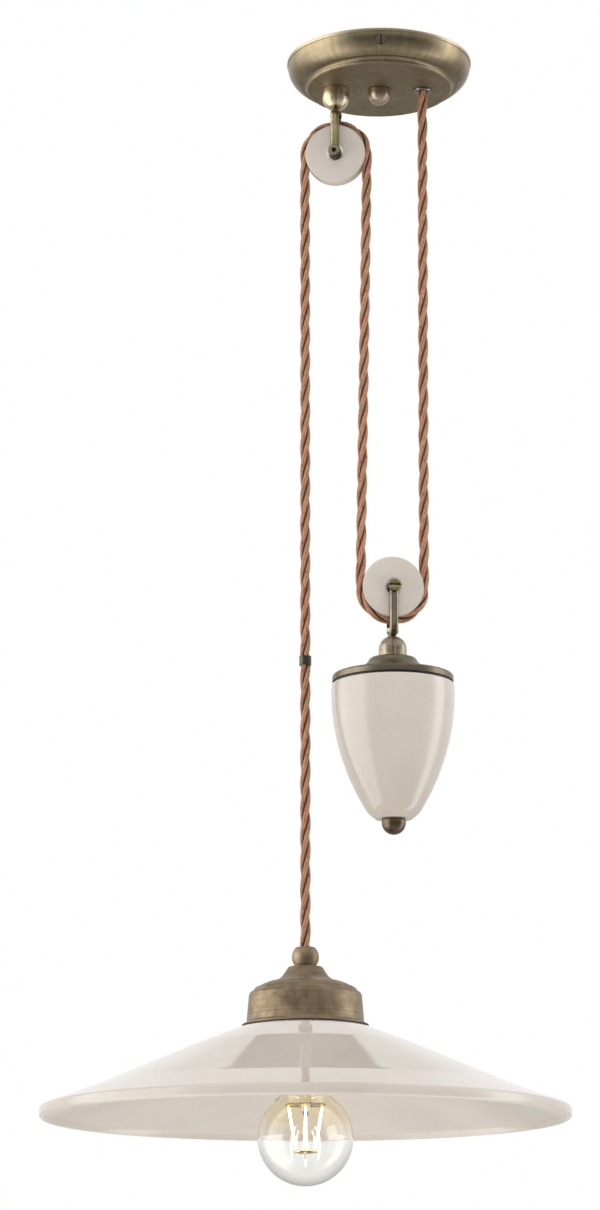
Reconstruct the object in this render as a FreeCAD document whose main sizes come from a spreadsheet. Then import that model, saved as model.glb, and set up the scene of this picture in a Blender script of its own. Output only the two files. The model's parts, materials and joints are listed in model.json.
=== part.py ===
import FreeCAD, Part
import math
import os
import Sketcher

# Rise and fall pendant: a ceiling canopy with a fixed pulley, a counterweight that hangs in a bight of
# the cord, and a ceramic shade on the cord's free end. Lengths are in millimetres, angles in degrees.
# The origin is the centre of the canopy on the ceiling, +Z points up and -Y points at the viewer.
SIZES = {
    # canopy
    "canopy_radius": 81.6,
    "canopy_depth": 25.0,
    "canopy_wall": 0.9,
    "canopy_edge": 3.2,
    "canopy_side_bend": 18.6,
    "shoulder_radius": 69.5,
    "shoulder_drop": 20.4,
    "bead_radius": 64.4,
    "bead_drop": 22.4,
    "disc_radius": 61.4,
    "fixture_offset": 38.4,
    # bracket inside the canopy and its side screws
    "bracket_width": 20.0,
    "bracket_thickness": 2.0,
    "bracket_gap": 4.0,
    "tab_length": 15.0,
    "side_screw_drop": 11.0,
    "side_screw_radius": 2.0,
    "side_screw_head": 4.4,
    "slot_spacing": 88.0,
    "slot_length": 20.0,
    "slot_width": 5.0,
    "cable_hole_radius": 6.0,
    # centre knob
    "knob_radius": 9.8,
    "knob_collar": 4.2,
    "knob_shank_radius": 3.0,
    # nuts and washers
    "nut_width": 10.0,
    "nut_height": 4.0,
    "washer_thickness": 1.0,
    "washer_radius": 6.6,
    # cord, eyelet and gland
    "cord_radius": 4.0,
    "cord_clearance": 0.3,
    "eyelet_radius": 8.1,
    "eyelet_height": 2.4,
    "gland_radius": 6.2,
    "gland_length": 12.0,
    "gland_nut_radius": 9.5,
    "gland_screw_radius": 1.4,
    "gland_screw_drop": 2.6,
    "tail_bend": 8.0,
    "tail_run": 24.0,
    "tail_heading": 90.0,
    "terminal_length": 18.0,
    "terminal_width": 26.0,
    "terminal_height": 8.6,
    # domes
    "dome_radius": 12.0,
    "dome_height": 19.0,
    "dome_wall": 1.6,
    "slit_width": 0.6,
    # pulleys and their axles
    "pulley_radius": 26.5,
    "pulley_width": 13.0,
    "pulley_edge": 1.2,
    "groove_radius": 4.4,
    "cord_bend": 27.6,
    "bush_radius": 4.2,
    "axle_radius": 2.5,
    "running_gap": 0.05,
    "side_gap": 0.1,
    "axle_washer_radius": 7.5,
    "axle_washer": 1.0,
    "axle_head_radius": 5.7,
    "axle_head_height": 3.4,
    "axle_slot_width": 1.3,
    "axle_slot_depth": 1.2,
    "hex_socket": 4.0,
    "hex_socket_depth": 2.2,
    "yaw": 8.0,
    # stirrups
    "stirrup_drop": 42.5,
    "arm_width": 7.4,
    "arm_thickness": 3.2,
    "arm_bend": 8.5,
    "arm_rounding": 2.4,
    "gap_bend": 1.8,
    "eye_radius": 4.9,
    "pivot_radius": 3.0,
    "pivot_head_height": 3.4,
    # counterweight
    "lower_axle_depth": 480.5,
    "weight_offset": 8.9,
    "cap_radius": 51.7,
    "cap_height": 21.0,
    "cap_wall": 1.1,
    "cap_rim": 4.6,
    "boss_radius": 17.6,
    "seal_thickness": 1.8,
    "urn_radius": 52.9,
    "urn_height": 116.3,
    "urn_wall": 5.0,
    "urn_foot": 15.3,
    "urn_belly": 9.3,
    "urn_belly_bend": 187.0,
    "urn_waist": 28.8,
    "urn_waist_bend": 196.0,
    "urn_foot_bend": 24.0,
    "core_gap": 0.8,
    "core_top": 4.0,
    "finial_radius": 10.3,
    "finial_collar": 2.4,
    "finial_thread": 7.0,
    "felt_thickness": 0.6,
    # fitter
    "ball_depth": 789.5,
    "ball_radius": 11.4,
    "ball_height": 16.4,
    "ball_socket": 7.0,
    "fitter_height": 49.1,
    "ogee_drop": 16.2,
    "step_drop": 19.8,
    "drum_drop": 24.4,
    "fitter_wall": 1.0,
    "fitter_top": 13.6,
    "ogee_foot": 38.2,
    "step_radius": 43.4,
    "drum_radius": 49.0,
    "drum_shoulder": 47.3,
    "lip_radius": 52.9,
    "lip_flare": 4.0,
    "gasket_thickness": 1.0,
    # shade; the cone flattens at the flare's radius, and the rim starts a little in from the edge
    "shade_radius": 220.2,
    "shade_height": 76.8,
    "shade_wall": 4.5,
    "shade_neck": 52.4,
    "shade_hole": 20.9,
    "flare_radius": 190.0,
    "flare_drop": 9.8,
    "rim_start": 2.2,
    "rim_band": 9.8,
    "rim_rounding": 3.0,
    "rim_lip": 6.2,
    "lip_rounding": 1.2,
    # lampholder; its depth is that of the bulb's tip below its top
    "nipple_radius": 5.0,
    "nipple_bore": 3.8,
    "holder_radius": 20.4,
    "holder_depth": 26.4,
    "holder_height": 53.0,
    "holder_cap": 12.0,
    "holder_wall": 1.8,
    "ring_radius": 27.0,
    "ring_height": 6.5,
    "socket_radius": 13.4,
    "tongue_height": 1.6,
    # bulb; its bottom is measured from the shade's flat top
    "bulb_radius": 39.8,
    "bulb_bottom": 131.3,
    "bulb_length": 121.0,
    "bulb_neck": 12.6,
    "bulb_wall": 0.9,
    "bulb_cap_radius": 13.1,
    "bulb_cap_length": 26.0,
    "filament_length": 38.0,
    "filament_radius": 0.9,
    "filament_foot": 28.6,
    "filament_ring": 9.0,
    "filament_lean": 11.0,
    "filament_count": 6.0,
    "filament_wire": 0.5,
    "stem_radius": 4.6,
    # small brass clip on the shade's cord
    "clip_depth": 539.6,
    "clip_height": 8.0,
    "clip_wall": 0.9,
    # gap that keeps two faces of different bodies apart
    "seat": 0.1,
    "cord_joint": 0.2,
}

doc = FreeCAD.newDocument("rise_and_fall_pendant")
sheet = doc.addObject("Spreadsheet::Sheet", "Sizes")
for row, (name, value) in enumerate(SIZES.items(), start=1):
    sheet.set(f"A{row}", name)
    sheet.set(f"B{row}", str(value))
    sheet.setAlias(f"B{row}", name)
doc.recompute()


class Size:
    """A number together with the formula on the sheet's cells that it comes from."""

    def __init__(self, value, formula=None):
        self.value = value
        self.formula = formula or repr(float(value))

    def __add__(self, other):
        other = sized(other)
        return Size(self.value + other.value, f"({self.formula} + {other.formula})")

    def __sub__(self, other):
        other = sized(other)
        return Size(self.value - other.value, f"({self.formula} - {other.formula})")

    def __mul__(self, other):
        other = sized(other)
        return Size(self.value * other.value, f"({self.formula} * {other.formula})")

    def __truediv__(self, other):
        other = sized(other)
        return Size(self.value / other.value, f"({self.formula} / {other.formula})")

    def __radd__(self, other):
        return sized(other) + self

    def __rsub__(self, other):
        return sized(other) - self

    def __rmul__(self, other):
        return sized(other) * self

    def __neg__(self):
        return self * -1


class Sheet:
    """The sheet's cells by name, each as a Size."""

    def __getattr__(self, name):
        return Size(SIZES[name], f"Sizes.{name}")


def sized(number):
    """A plain number as a Size; a Size stays what it is."""
    return number if isinstance(number, Size) else Size(float(number))


def root(size):
    """The square root of a Size."""
    return Size(math.sqrt(size.value), f"sqrt({size.formula})")


def cosine(angle):
    """The cosine of a Size in degrees."""
    return Size(math.cos(math.radians(angle.value)), f"cos({angle.formula})")


def sine(angle):
    """The sine of a Size in degrees."""
    return Size(math.sin(math.radians(angle.value)), f"sin({angle.formula})")


s = Sheet()
nodes = []

# Places that several sub-parts share, all worked out from the sheet.
upper_axle_z = -(s.canopy_depth + s.dome_height + s.seat + s.stirrup_drop)
lower_axle_z = -s.lower_axle_depth
cap_top_z = lower_axle_z - s.stirrup_drop - s.seat - s.dome_height
seal_top_z = cap_top_z - s.cap_height
urn_top_z = seal_top_z - s.seal_thickness
urn_bottom_z = urn_top_z - s.urn_height
ball_top_z = -s.ball_depth
fitter_top_z = ball_top_z - s.ball_height
lip_z = fitter_top_z - s.fitter_height
shade_top_z = lip_z - s.gasket_thickness
bulb_bottom_z = shade_top_z - s.bulb_bottom
bulb_top_z = bulb_bottom_z + s.bulb_length
holder_top_z = bulb_top_z + s.holder_depth
shade_x = -s.fixture_offset - s.cord_bend * cosine(s.yaw)
shade_y = s.cord_bend * sine(s.yaw)
arm_inside = s.pulley_width / 2 + s.side_gap * 2 + s.axle_washer
arm_outside = arm_inside + s.arm_thickness
cord_hole = s.cord_radius + s.cord_clearance

# Rotations, as yaw, pitch and roll: upright, upside down, and facing the viewer on a pulley's axle.
UPRIGHT = (0, 0, 0)
FLIPPED = (0, 180, 0)
TURNED_LEFT = (-s.yaw.value, 0, 0)
TURNED_RIGHT_FLIPPED = (s.yaw.value, 180, 0)
UPPER_AXLE = (-s.yaw.value, 0, 90)
LOWER_AXLE = (s.yaw.value, 0, 90)


def new_body(name):
    """An empty body for the sub-part of that name; it may hold several equal solids."""
    body = doc.addObject("PartDesign::Body", name)
    body.AllowCompound = True
    nodes.append(body)
    return body


def sketch_on(body, role="XZ_Plane"):
    """A sketch on one of the body's own origin planes."""
    sketch = body.newObject("Sketcher::SketchObject", "profile")
    plane = next(f for f in body.Origin.OriginFeatures if f.Role == role)
    sketch.AttachmentSupport = [(plane, "")]
    sketch.MapMode = "FlatFace"
    return sketch


def bind(sketch, kind, *where, size):
    """Adds a constraint of the sketch whose value follows a size."""
    index = sketch.addConstraint(Sketcher.Constraint(kind, *where, size.value))
    sketch.setExpression(f"Constraints[{index}]", size.formula)


def side(sketch, start, end, bend):
    """One side of an outline: a line, or an arc whose centre lies left (bend above 0) or right of it."""
    if bend is None:
        return sketch.addGeometry(Part.LineSegment(start, end)), 1, 2
    chord = end - start
    radius = abs(bend.value)
    rise = math.sqrt(max(radius**2 - chord.Length**2 / 4, 0.0))
    left = FreeCAD.Vector(-chord.y, chord.x, 0).normalize()
    turning_left = bend.value > 0
    centre = (start + end) * 0.5 + left * (rise if turning_left else -rise)
    first, last = (start, end) if turning_left else (end, start)
    from_angle = math.atan2(first.y - centre.y, first.x - centre.x)
    to_angle = math.atan2(last.y - centre.y, last.x - centre.x)
    if to_angle < from_angle:
        to_angle += 2 * math.pi
    circle = Part.Circle(centre, FreeCAD.Vector(0, 0, 1), radius)
    arc = sketch.addGeometry(Part.ArcOfCircle(circle, from_angle, to_angle))
    bind(sketch, "Radius", arc, size=bend if turning_left else -bend)
    return (arc, 1, 2) if turning_left else (arc, 2, 1)


def outline(sketch, *corners):
    """A closed outline through corners (x, y) or (x, y, bend), where bend rounds the side that arrives."""
    corners = [tuple(sized(number) for number in corner) for corner in corners]
    points = [FreeCAD.Vector(corner[0].value, corner[1].value, 0) for corner in corners]
    following = corners[1:] + corners[:1]
    sides = []
    for index, corner in enumerate(following):
        bend = corner[2] if len(corner) > 2 else None
        sides.append(side(sketch, points[index], points[(index + 1) % len(points)], bend))
    for index, (edge, start, end) in enumerate(sides):
        next_edge, next_start, _ = sides[(index + 1) % len(sides)]
        sketch.addConstraint(Sketcher.Constraint("Coincident", edge, end, next_edge, next_start))
        for kind, axis, size in zip(("DistanceX", "DistanceY"), (-2, -1), corners[index]):
            if size.value == 0:
                sketch.addConstraint(Sketcher.Constraint("PointOnObject", edge, start, axis))
            else:
                bind(sketch, kind, edge, start, size=size)
    return sketch


def rectangle(sketch, low_x, low_y, high_x, high_y):
    """An upright rectangle between two corners."""
    return outline(sketch, (low_x, low_y), (high_x, low_y), (high_x, high_y), (low_x, high_y))


def circle(sketch, x, y, radius):
    """A circle of a sketch, bound to its centre and radius."""
    x, y, radius = sized(x), sized(y), sized(radius)
    centre = FreeCAD.Vector(x.value, y.value, 0)
    edge = sketch.addGeometry(Part.Circle(centre, FreeCAD.Vector(0, 0, 1), radius.value))
    bind(sketch, "Radius", edge, size=radius)
    for kind, axis, size in (("DistanceX", -2, x), ("DistanceY", -1, y)):
        if size.value == 0:
            sketch.addConstraint(Sketcher.Constraint("PointOnObject", edge, 3, axis))
        else:
            bind(sketch, kind, edge, 3, size=size)
    return sketch


def hexagon(sketch, width):
    """A hexagon across flats, centred on the sketch's origin."""
    flat, half, point = width / 2, width / (2 * math.sqrt(3)), width / math.sqrt(3)
    corners = ((flat, -half), (flat, half), (0, point), (-flat, half), (-flat, -half), (0, -point))
    return outline(sketch, *corners)


def slot(sketch, x, y, length, width):
    """A round-ended slot along the sketch's y direction, centred on (x, y)."""
    half, radius = (length - width) / 2, width / 2
    return outline(
        sketch,
        (x + radius, y - half, radius),
        (x + radius, y + half),
        (x, y + half + radius, radius),
        (x - radius, y + half, radius),
        (x - radius, y - half),
        (x, y - half - radius, radius),
    )


def turned(name, *corners):
    """A body turned on a lathe: its half section, as (radius, height) corners, spun about Z."""
    body = new_body(name)
    sketch = outline(sketch_on(body), *corners)
    revolution = body.newObject("PartDesign::Revolution", "turned")
    revolution.Profile = sketch
    revolution.ReferenceAxis = (sketch, ["V_Axis"])
    revolution.Angle = 360
    return body


def pad(body, sketch, length, symmetric=False, reverse=False):
    """Adds a plate of the sketch's shape, on one side of its plane or on both."""
    feature = body.newObject("PartDesign::Pad", "pad")
    feature.Profile = sketch
    feature.Length = length.value
    feature.setExpression("Length", length.formula)
    feature.SideType = "Symmetric" if symmetric else "One side"
    feature.Reversed = reverse
    return feature


def pocket(body, sketch, depth=None, offset=None, symmetric=False, reverse=False):
    """Cuts the sketch's shape to a depth, or right through, and checks that it took material away."""
    if offset is not None:
        sketch.setExpression("AttachmentOffset.Base.z", offset.formula)
    doc.recompute()
    before = body.Shape.Volume
    feature = body.newObject("PartDesign::Pocket", "pocket")
    feature.Profile = sketch
    feature.SideType = "Symmetric" if symmetric else "One side"
    feature.Reversed = reverse
    if depth is None:
        feature.Type = "ThroughAll"
    else:
        feature.Length = depth.value
        feature.setExpression("Length", depth.formula)
    doc.recompute()
    if body.Shape.Volume >= before - 1e-6:
        raise ValueError(f"a pocket of {body.Label} cuts nothing")
    return feature


def repeat(body, features, count):
    """Repeats features of a body round its Z axis."""
    pattern = body.newObject("PartDesign::PolarPattern", "pattern")
    pattern.Originals = features
    axis = next(f for f in body.Origin.OriginFeatures if f.Role == "Z_Axis")
    pattern.Axis = (axis, [""])
    pattern.Angle = 360
    pattern.Occurrences = count
    body.Tip = pattern
    return pattern


def mirror(body, features, role="XZ_Plane"):
    """Repeats features of a body on the other side of one of its origin planes."""
    mirrored = body.newObject("PartDesign::Mirrored", "mirrored")
    mirrored.Originals = features
    plane = next(f for f in body.Origin.OriginFeatures if f.Role == role)
    mirrored.MirrorPlane = (plane, [""])
    body.Tip = mirrored
    return mirrored


def stand(body, x=0, y=0, z=0, rotation=UPRIGHT):
    """Puts a sub-part in its place, bound to the sizes that the place comes from."""
    where = [sized(number) for number in (x, y, z)]
    base = FreeCAD.Vector(*(size.value for size in where))
    body.Placement = FreeCAD.Placement(base, FreeCAD.Rotation(*rotation))
    for axis, size in zip("xyz", where):
        body.setExpression(f"Placement.Base.{axis}", size.formula)
    return body


# ---------------------------------------------------------------- canopy and what it holds


def canopy():
    """A spun brass cup: a rolled edge, a convex side, a hollow shoulder, a bead and a flat disc."""
    wall, edge = s.canopy_wall, s.canopy_edge
    outer, depth = s.canopy_radius, s.canopy_depth
    body = turned(
        "canopy",
        (0, -depth),
        (s.disc_radius, -depth),
        (s.disc_radius + 1.0, -depth - 0.4),
        (s.bead_radius, -s.bead_drop, 2.4),
        (s.shoulder_radius, -s.shoulder_drop, -5.0),
        (outer - 0.7, -edge, s.canopy_side_bend),
        (outer, -edge + 0.7, 1.0),
        (outer, -0.5),
        (outer - 0.5, 0, 0.5),
        (outer - wall - 0.5, 0),
        (outer - wall - 0.5, -edge),
        (s.shoulder_radius - wall * 0.3, -s.shoulder_drop + wall, -(s.canopy_side_bend - wall)),
        (s.bead_radius - wall, -s.bead_drop + wall, 5.9),
        (s.disc_radius, -depth + wall),
        (0, -depth + wall),
    )
    fixings = sketch_on(body, "XY_Plane")
    circle(fixings, -s.fixture_offset, 0, s.pivot_radius + s.seat)
    circle(fixings, 0, 0, s.knob_shank_radius + s.seat)
    circle(fixings, s.fixture_offset, 0, s.gland_radius + s.seat)
    pocket(body, fixings, symmetric=True)
    side_holes = circle(sketch_on(body), 0, -s.side_screw_drop, s.side_screw_radius + s.seat)
    pocket(body, side_holes, symmetric=True)
    return stand(body)


def tab_face():
    """Distance from the axis to the outer face of the bracket's tabs, just inside the canopy's side."""
    bend, edge_radius = s.canopy_side_bend, s.canopy_radius
    return edge_radius - bend + root(bend * bend - s.side_screw_drop * s.side_screw_drop) - s.bracket_gap


def mounting_bracket():
    """A steel strap under the ceiling whose bent tabs take the canopy's side screws."""
    body = new_body("mounting_bracket")
    face, thick = tab_face(), s.bracket_thickness
    strap = outline(
        sketch_on(body, "YZ_Plane"),
        (-face, -s.tab_length),
        (-face + thick, -s.tab_length),
        (-face + thick, -thick - 2),
        (-face + thick + 2, -thick, -2),
        (face - thick - 2, -thick),
        (face - thick, -thick - 2, -2),
        (face - thick, -s.tab_length),
        (face, -s.tab_length),
        (face, -4),
        (face - 4, 0, 4),
        (-face + 4, 0),
        (-face, -4, 4),
    )
    pad(body, strap, s.bracket_width, symmetric=True)
    openings = sketch_on(body, "XY_Plane")
    circle(openings, 0, 0, s.cable_hole_radius)
    slot(openings, sized(0), s.slot_spacing / 2, s.slot_length, s.slot_width)
    slot(openings, sized(0), -s.slot_spacing / 2, s.slot_length, s.slot_width)
    pocket(body, openings, symmetric=True)
    threads = circle(sketch_on(body), 0, -s.side_screw_drop, s.side_screw_radius)
    pocket(body, threads, symmetric=True)
    return stand(body)


def canopy_side_screws():
    """Two slotted screws through the canopy's side into the bracket's tabs."""
    body = new_body("canopy_side_screws")
    face, drop = tab_face(), -s.side_screw_drop
    head_seat = s.canopy_radius - 0.9
    shank = circle(sketch_on(body), 0, drop, s.side_screw_radius)
    shank.setExpression("AttachmentOffset.Base.z", (face - s.bracket_thickness - 2).formula)
    first = pad(body, shank, head_seat - face + s.bracket_thickness + 2.5)
    head = circle(sketch_on(body), 0, drop, s.side_screw_head)
    head.setExpression("AttachmentOffset.Base.z", head_seat.formula)
    second = pad(body, head, sized(2.2))
    drive = rectangle(sketch_on(body), -0.5, drop - 6, 0.5, drop + 6)
    third = pocket(body, drive, depth=sized(1.1), offset=head_seat + 2.2)
    mirror(body, [first, second, third])
    return stand(body)


def centre_knob():
    """A half-ball knob with a threaded shank that closes the canopy's centre hole."""
    radius, collar, shank = s.knob_radius, s.knob_collar, s.knob_shank_radius
    body = turned(
        "centre_knob",
        (0, -collar - radius),
        (radius, -collar, radius),
        (radius, -0.8),
        (radius - 0.8, 0, 0.8),
        (shank, 0),
        (shank, s.canopy_wall + s.nut_height + 2),
        (0, s.canopy_wall + s.nut_height + 2),
    )
    return stand(body, z=-s.canopy_depth)


def hex_nut(name, bore):
    """A hexagonal nut standing on its own base."""
    body = new_body(name)
    sketch = hexagon(sketch_on(body, "XY_Plane"), s.nut_width)
    circle(sketch, 0, 0, bore)
    pad(body, sketch, s.nut_height)
    return body


def flat_washer(name, bore, radius, thickness):
    """A flat washer standing on its own base."""
    body = new_body(name)
    sketch = circle(sketch_on(body, "XY_Plane"), 0, 0, radius)
    circle(sketch, 0, 0, bore)
    pad(body, sketch, thickness)
    return body


def cord_eyelet():
    """The bright rolled ring where the cord leaves the canopy, with the gland's threaded sleeve."""
    bore, sleeve, ring, height = cord_hole, s.gland_radius, s.eyelet_radius, s.eyelet_height
    body = turned(
        "cord_eyelet",
        (bore, s.gland_length),
        (bore, -height + 1.2),
        (bore + 1.2, -height, 1.2),
        (ring - 1.6, -height),
        (ring, -height + 1.6, 1.6),
        (ring, 0),
        (sleeve, 0),
        (sleeve, s.gland_length),
    )
    thread = circle(sketch_on(body, "YZ_Plane"), 0, s.gland_length - s.gland_screw_drop, s.gland_screw_radius)
    pocket(body, thread, reverse=True)
    return stand(body, x=s.fixture_offset, z=-s.canopy_depth)


def gland_nut():
    """The nut that clamps the eyelet to the canopy and carries the cord's fixed end."""
    body = new_body("gland_nut")
    sketch = hexagon(sketch_on(body, "XY_Plane"), s.gland_nut_radius * 2)
    circle(sketch, 0, 0, s.gland_radius)
    pad(body, sketch, s.nut_height)
    return stand(body, x=s.fixture_offset, z=-s.canopy_depth + s.canopy_wall)


def gland_screw():
    """The side screw that pinches the cord in the gland's sleeve."""
    length = s.gland_radius + 3 - cord_hole
    shank, head = s.gland_screw_radius, s.gland_screw_radius + 1
    body = turned(
        "gland_screw",
        (0, 0),
        (shank, 0),
        (shank, length),
        (head, length),
        (head, length + 1.6),
        (0, length + 1.6),
    )
    height = -s.canopy_depth + s.gland_length - s.gland_screw_drop
    return stand(body, x=s.fixture_offset + cord_hole + s.seat, z=height, rotation=(0, 90, 0))


def tail_end():
    """Where the cord's tail meets the terminal block, as x and y."""
    reach = s.tail_bend + s.tail_run
    return s.fixture_offset + reach * cosine(s.tail_heading), reach * sine(s.tail_heading)


def terminal_block():
    """A plastic connector with three wire ways, fixed beside the cord's tail."""
    body = new_body("terminal_block")
    half = s.terminal_width / 2
    block = rectangle(sketch_on(body, "XY_Plane"), 0, -half, s.terminal_length, half)
    pad(body, block, s.terminal_height, symmetric=True)
    ways = sketch_on(body, "YZ_Plane")
    wells = sketch_on(body, "XY_Plane")
    for place in (-1, 0, 1):
        circle(ways, s.terminal_width * place / 3.2, 0, 2.0)
        circle(wells, 4.5, s.terminal_width * place / 3.2, 1.8)
        circle(wells, s.terminal_length - 4.5, s.terminal_width * place / 3.2, 1.8)
    pocket(body, ways, symmetric=True)
    pocket(body, wells, depth=sized(4.0), offset=-s.terminal_height / 2, reverse=True)
    x, y = tail_end()
    return stand(body, x, y, tail_level(), (s.tail_heading.value, 0, 0))


def terminal_screws():
    """Six brass screws that hold the wires in the terminal block."""
    body = new_body("terminal_screws")
    seats = sketch_on(body, "XY_Plane")
    for place in (-1, 0, 1):
        circle(seats, 4.5, s.terminal_width * place / 3.2, 1.7)
        circle(seats, s.terminal_length - 4.5, s.terminal_width * place / 3.2, 1.7)
    seats.setExpression("AttachmentOffset.Base.z", (-s.terminal_height / 2 + 1.0).formula)
    pad(body, seats, sized(2.9))
    x, y = tail_end()
    return stand(body, x, y, tail_level(), (s.tail_heading.value, 0, 0))


# ---------------------------------------------------------------- stirrups, domes and axles


def dome(name):
    """A hollow half-ball on a short collar, with a fine slit down its front and a hole at its crown."""
    radius, wall, hole = s.dome_radius, s.dome_wall, s.pivot_radius + s.seat
    centre = s.dome_height - root(radius * radius - hole * hole)
    inner = radius - wall
    body = turned(
        name,
        (inner, 0),
        (radius - 0.5, 0),
        (radius, 0.5),
        (radius, centre),
        (hole, s.dome_height, radius),
        (hole, centre + root(inner * inner - hole * hole)),
        (inner, centre, -inner),
    )
    slit = rectangle(sketch_on(body), -s.slit_width / 2, 1.5, s.slit_width / 2, s.dome_height + 1)
    pocket(body, slit, reverse=True)
    return body


def stirrup(name):
    """A bent bar that straddles a pulley: rounded arms, an eye at each end and a flat bridge."""
    body = new_body(name)
    out, inside, thick, top = arm_outside, arm_inside, s.arm_thickness, s.stirrup_drop
    bend = s.arm_bend
    arch = outline(
        sketch_on(body, "YZ_Plane"),
        (-out, 0),
        (out, 0),
        (out, top - bend),
        (out - bend, top, bend),
        (-out + bend, top),
        (-out, top - bend, bend),
    )
    bar = pad(body, arch, s.arm_width, symmetric=True)
    doc.recompute()
    half_width = s.arm_width.value / 2
    edges = [
        f"Edge{number}"
        for number, edge in enumerate(bar.Shape.Edges, start=1)
        if abs(edge.BoundBox.XLength) < 1e-6
        and abs(abs(edge.CenterOfMass.x) - half_width) < 1e-6
        and edge.BoundBox.ZMax > 0.1
    ]
    rounding = body.newObject("PartDesign::Fillet", "rounding")
    rounding.Base = (bar, edges)
    rounding.Radius = s.arm_rounding.value
    rounding.setExpression("Radius", s.arm_rounding.formula)
    doc.recompute()
    eyes = circle(sketch_on(body), 0, 0, s.eye_radius)
    pad(body, eyes, out * 2, symmetric=True)
    corner = s.gap_bend
    gap = outline(
        sketch_on(body, "YZ_Plane"),
        (-inside, -s.eye_radius - 1),
        (inside, -s.eye_radius - 1),
        (inside, top - thick - corner),
        (inside - corner, top - thick, corner),
        (-inside + corner, top - thick),
        (-inside, top - thick - corner, corner),
    )
    pocket(body, gap, symmetric=True)
    pocket(body, circle(sketch_on(body), 0, 0, s.axle_radius + s.running_gap), symmetric=True)
    bridge_hole = circle(sketch_on(body, "XY_Plane"), 0, 0, s.pivot_radius + s.running_gap)
    pocket(body, bridge_hole, reverse=True)
    return body


def axle_screw(name):
    """A round-headed screw, its head at +Z in front of the stirrup and its end behind it."""
    shaft, head, height, front = s.axle_radius, s.axle_head_radius, s.axle_head_height, arm_outside
    return turned(
        name,
        (0, -front - s.nut_height - 1),
        (shaft, -front - s.nut_height - 1),
        (shaft, front),
        (head, front),
        (head, front + height - 1.2),
        (head - 1.2, front + height, 1.2),
        (0, front + height),
    )


def upper_axle_screw():
    """The upper axle, with a hexagonal socket in its head."""
    body = axle_screw("upper_axle_screw")
    socket = hexagon(sketch_on(body, "XY_Plane"), s.hex_socket)
    pocket(body, socket, depth=s.hex_socket_depth, offset=arm_outside + s.axle_head_height)
    return stand(body, -s.fixture_offset, 0, upper_axle_z, UPPER_AXLE)


def lower_axle_screw():
    """The lower axle, with a straight slot across its head."""
    body = axle_screw("lower_axle_screw")
    half, reach = s.axle_slot_width / 2, s.axle_head_radius + 1
    drive = rectangle(sketch_on(body, "XY_Plane"), -reach, -half, reach, half)
    pocket(body, drive, depth=s.axle_slot_depth, offset=arm_outside + s.axle_head_height)
    return stand(body, s.weight_offset, 0, lower_axle_z, LOWER_AXLE)


def axle_washers(name):
    """A washer each side of a pulley, against the stirrup's arms."""
    body = new_body(name)
    ring = circle(sketch_on(body, "XY_Plane"), 0, 0, s.axle_washer_radius)
    circle(ring, 0, 0, s.axle_radius + s.running_gap)
    ring.setExpression("AttachmentOffset.Base.z", (arm_inside - s.axle_washer).formula)
    first = pad(body, ring, s.axle_washer)
    mirror(body, [first], "XY_Plane")
    return body


def axle_nut(name):
    """The nut behind the stirrup's rear arm."""
    body = new_body(name)
    sketch = hexagon(sketch_on(body, "XY_Plane"), s.nut_width)
    circle(sketch, 0, 0, s.axle_radius)
    sketch.setExpression("AttachmentOffset.Base.z", (-arm_outside - s.nut_height).formula)
    pad(body, sketch, s.nut_height)
    return body


def pulley(name):
    """A glazed ceramic wheel with soft edges and a round groove that takes the cord."""
    half, rim, edge = s.pulley_width / 2, s.pulley_radius, s.pulley_edge
    beyond = s.cord_bend - rim
    mouth = root(s.groove_radius * s.groove_radius - beyond * beyond)
    return turned(
        name,
        (s.bush_radius, -half),
        (rim - edge, -half),
        (rim, -half + edge, edge),
        (rim, -mouth),
        (rim, mouth, -s.groove_radius),
        (rim, half - edge),
        (rim - edge, half, edge),
        (s.bush_radius, half),
    )


def pulley_bush(name):
    """The brass bush in a pulley's bore, a little proud of both faces."""
    half = s.pulley_width / 2 + s.side_gap
    bore = s.axle_radius + s.running_gap
    return turned(name, (bore, -half), (s.bush_radius, -half), (s.bush_radius, half), (bore, half))


def pivot_screw(name, length):
    """A hexagonal-headed screw, head down, whose shank stands up from the stirrup's bridge."""
    body = new_body(name)
    head = hexagon(sketch_on(body, "XY_Plane"), s.nut_width)
    pad(body, head, s.pivot_head_height, reverse=True)
    shank = circle(sketch_on(body, "XY_Plane"), 0, 0, s.pivot_radius)
    pad(body, shank, length)
    return body


def upper_hanger():
    """The fixed pulley under the canopy with all that carries it."""
    x, axle = -s.fixture_offset, upper_axle_z
    floor = -s.canopy_depth + s.canopy_wall
    stand(dome("upper_dome"), x, 0, -s.canopy_depth, FLIPPED)
    stand(stirrup("upper_stirrup"), x, 0, axle, TURNED_LEFT)
    bridge = axle + s.stirrup_drop - s.arm_thickness
    length = floor - bridge + s.washer_thickness + s.nut_height + 2
    stand(pivot_screw("upper_pivot_screw", length), x, 0, bridge, TURNED_LEFT)
    bore = s.pivot_radius + s.seat
    washer = flat_washer("upper_pivot_washer", bore, s.washer_radius, s.washer_thickness)
    stand(washer, x, 0, floor)
    stand(hex_nut("upper_pivot_nut", s.pivot_radius), x, 0, floor + s.washer_thickness)
    upper_axle_screw()
    stand(axle_washers("upper_axle_washers"), x, 0, axle, UPPER_AXLE)
    stand(axle_nut("upper_axle_nut"), x, 0, axle, UPPER_AXLE)
    stand(pulley("upper_pulley"), x, 0, axle, UPPER_AXLE)
    stand(pulley_bush("upper_pulley_bush"), x, 0, axle, UPPER_AXLE)


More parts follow.
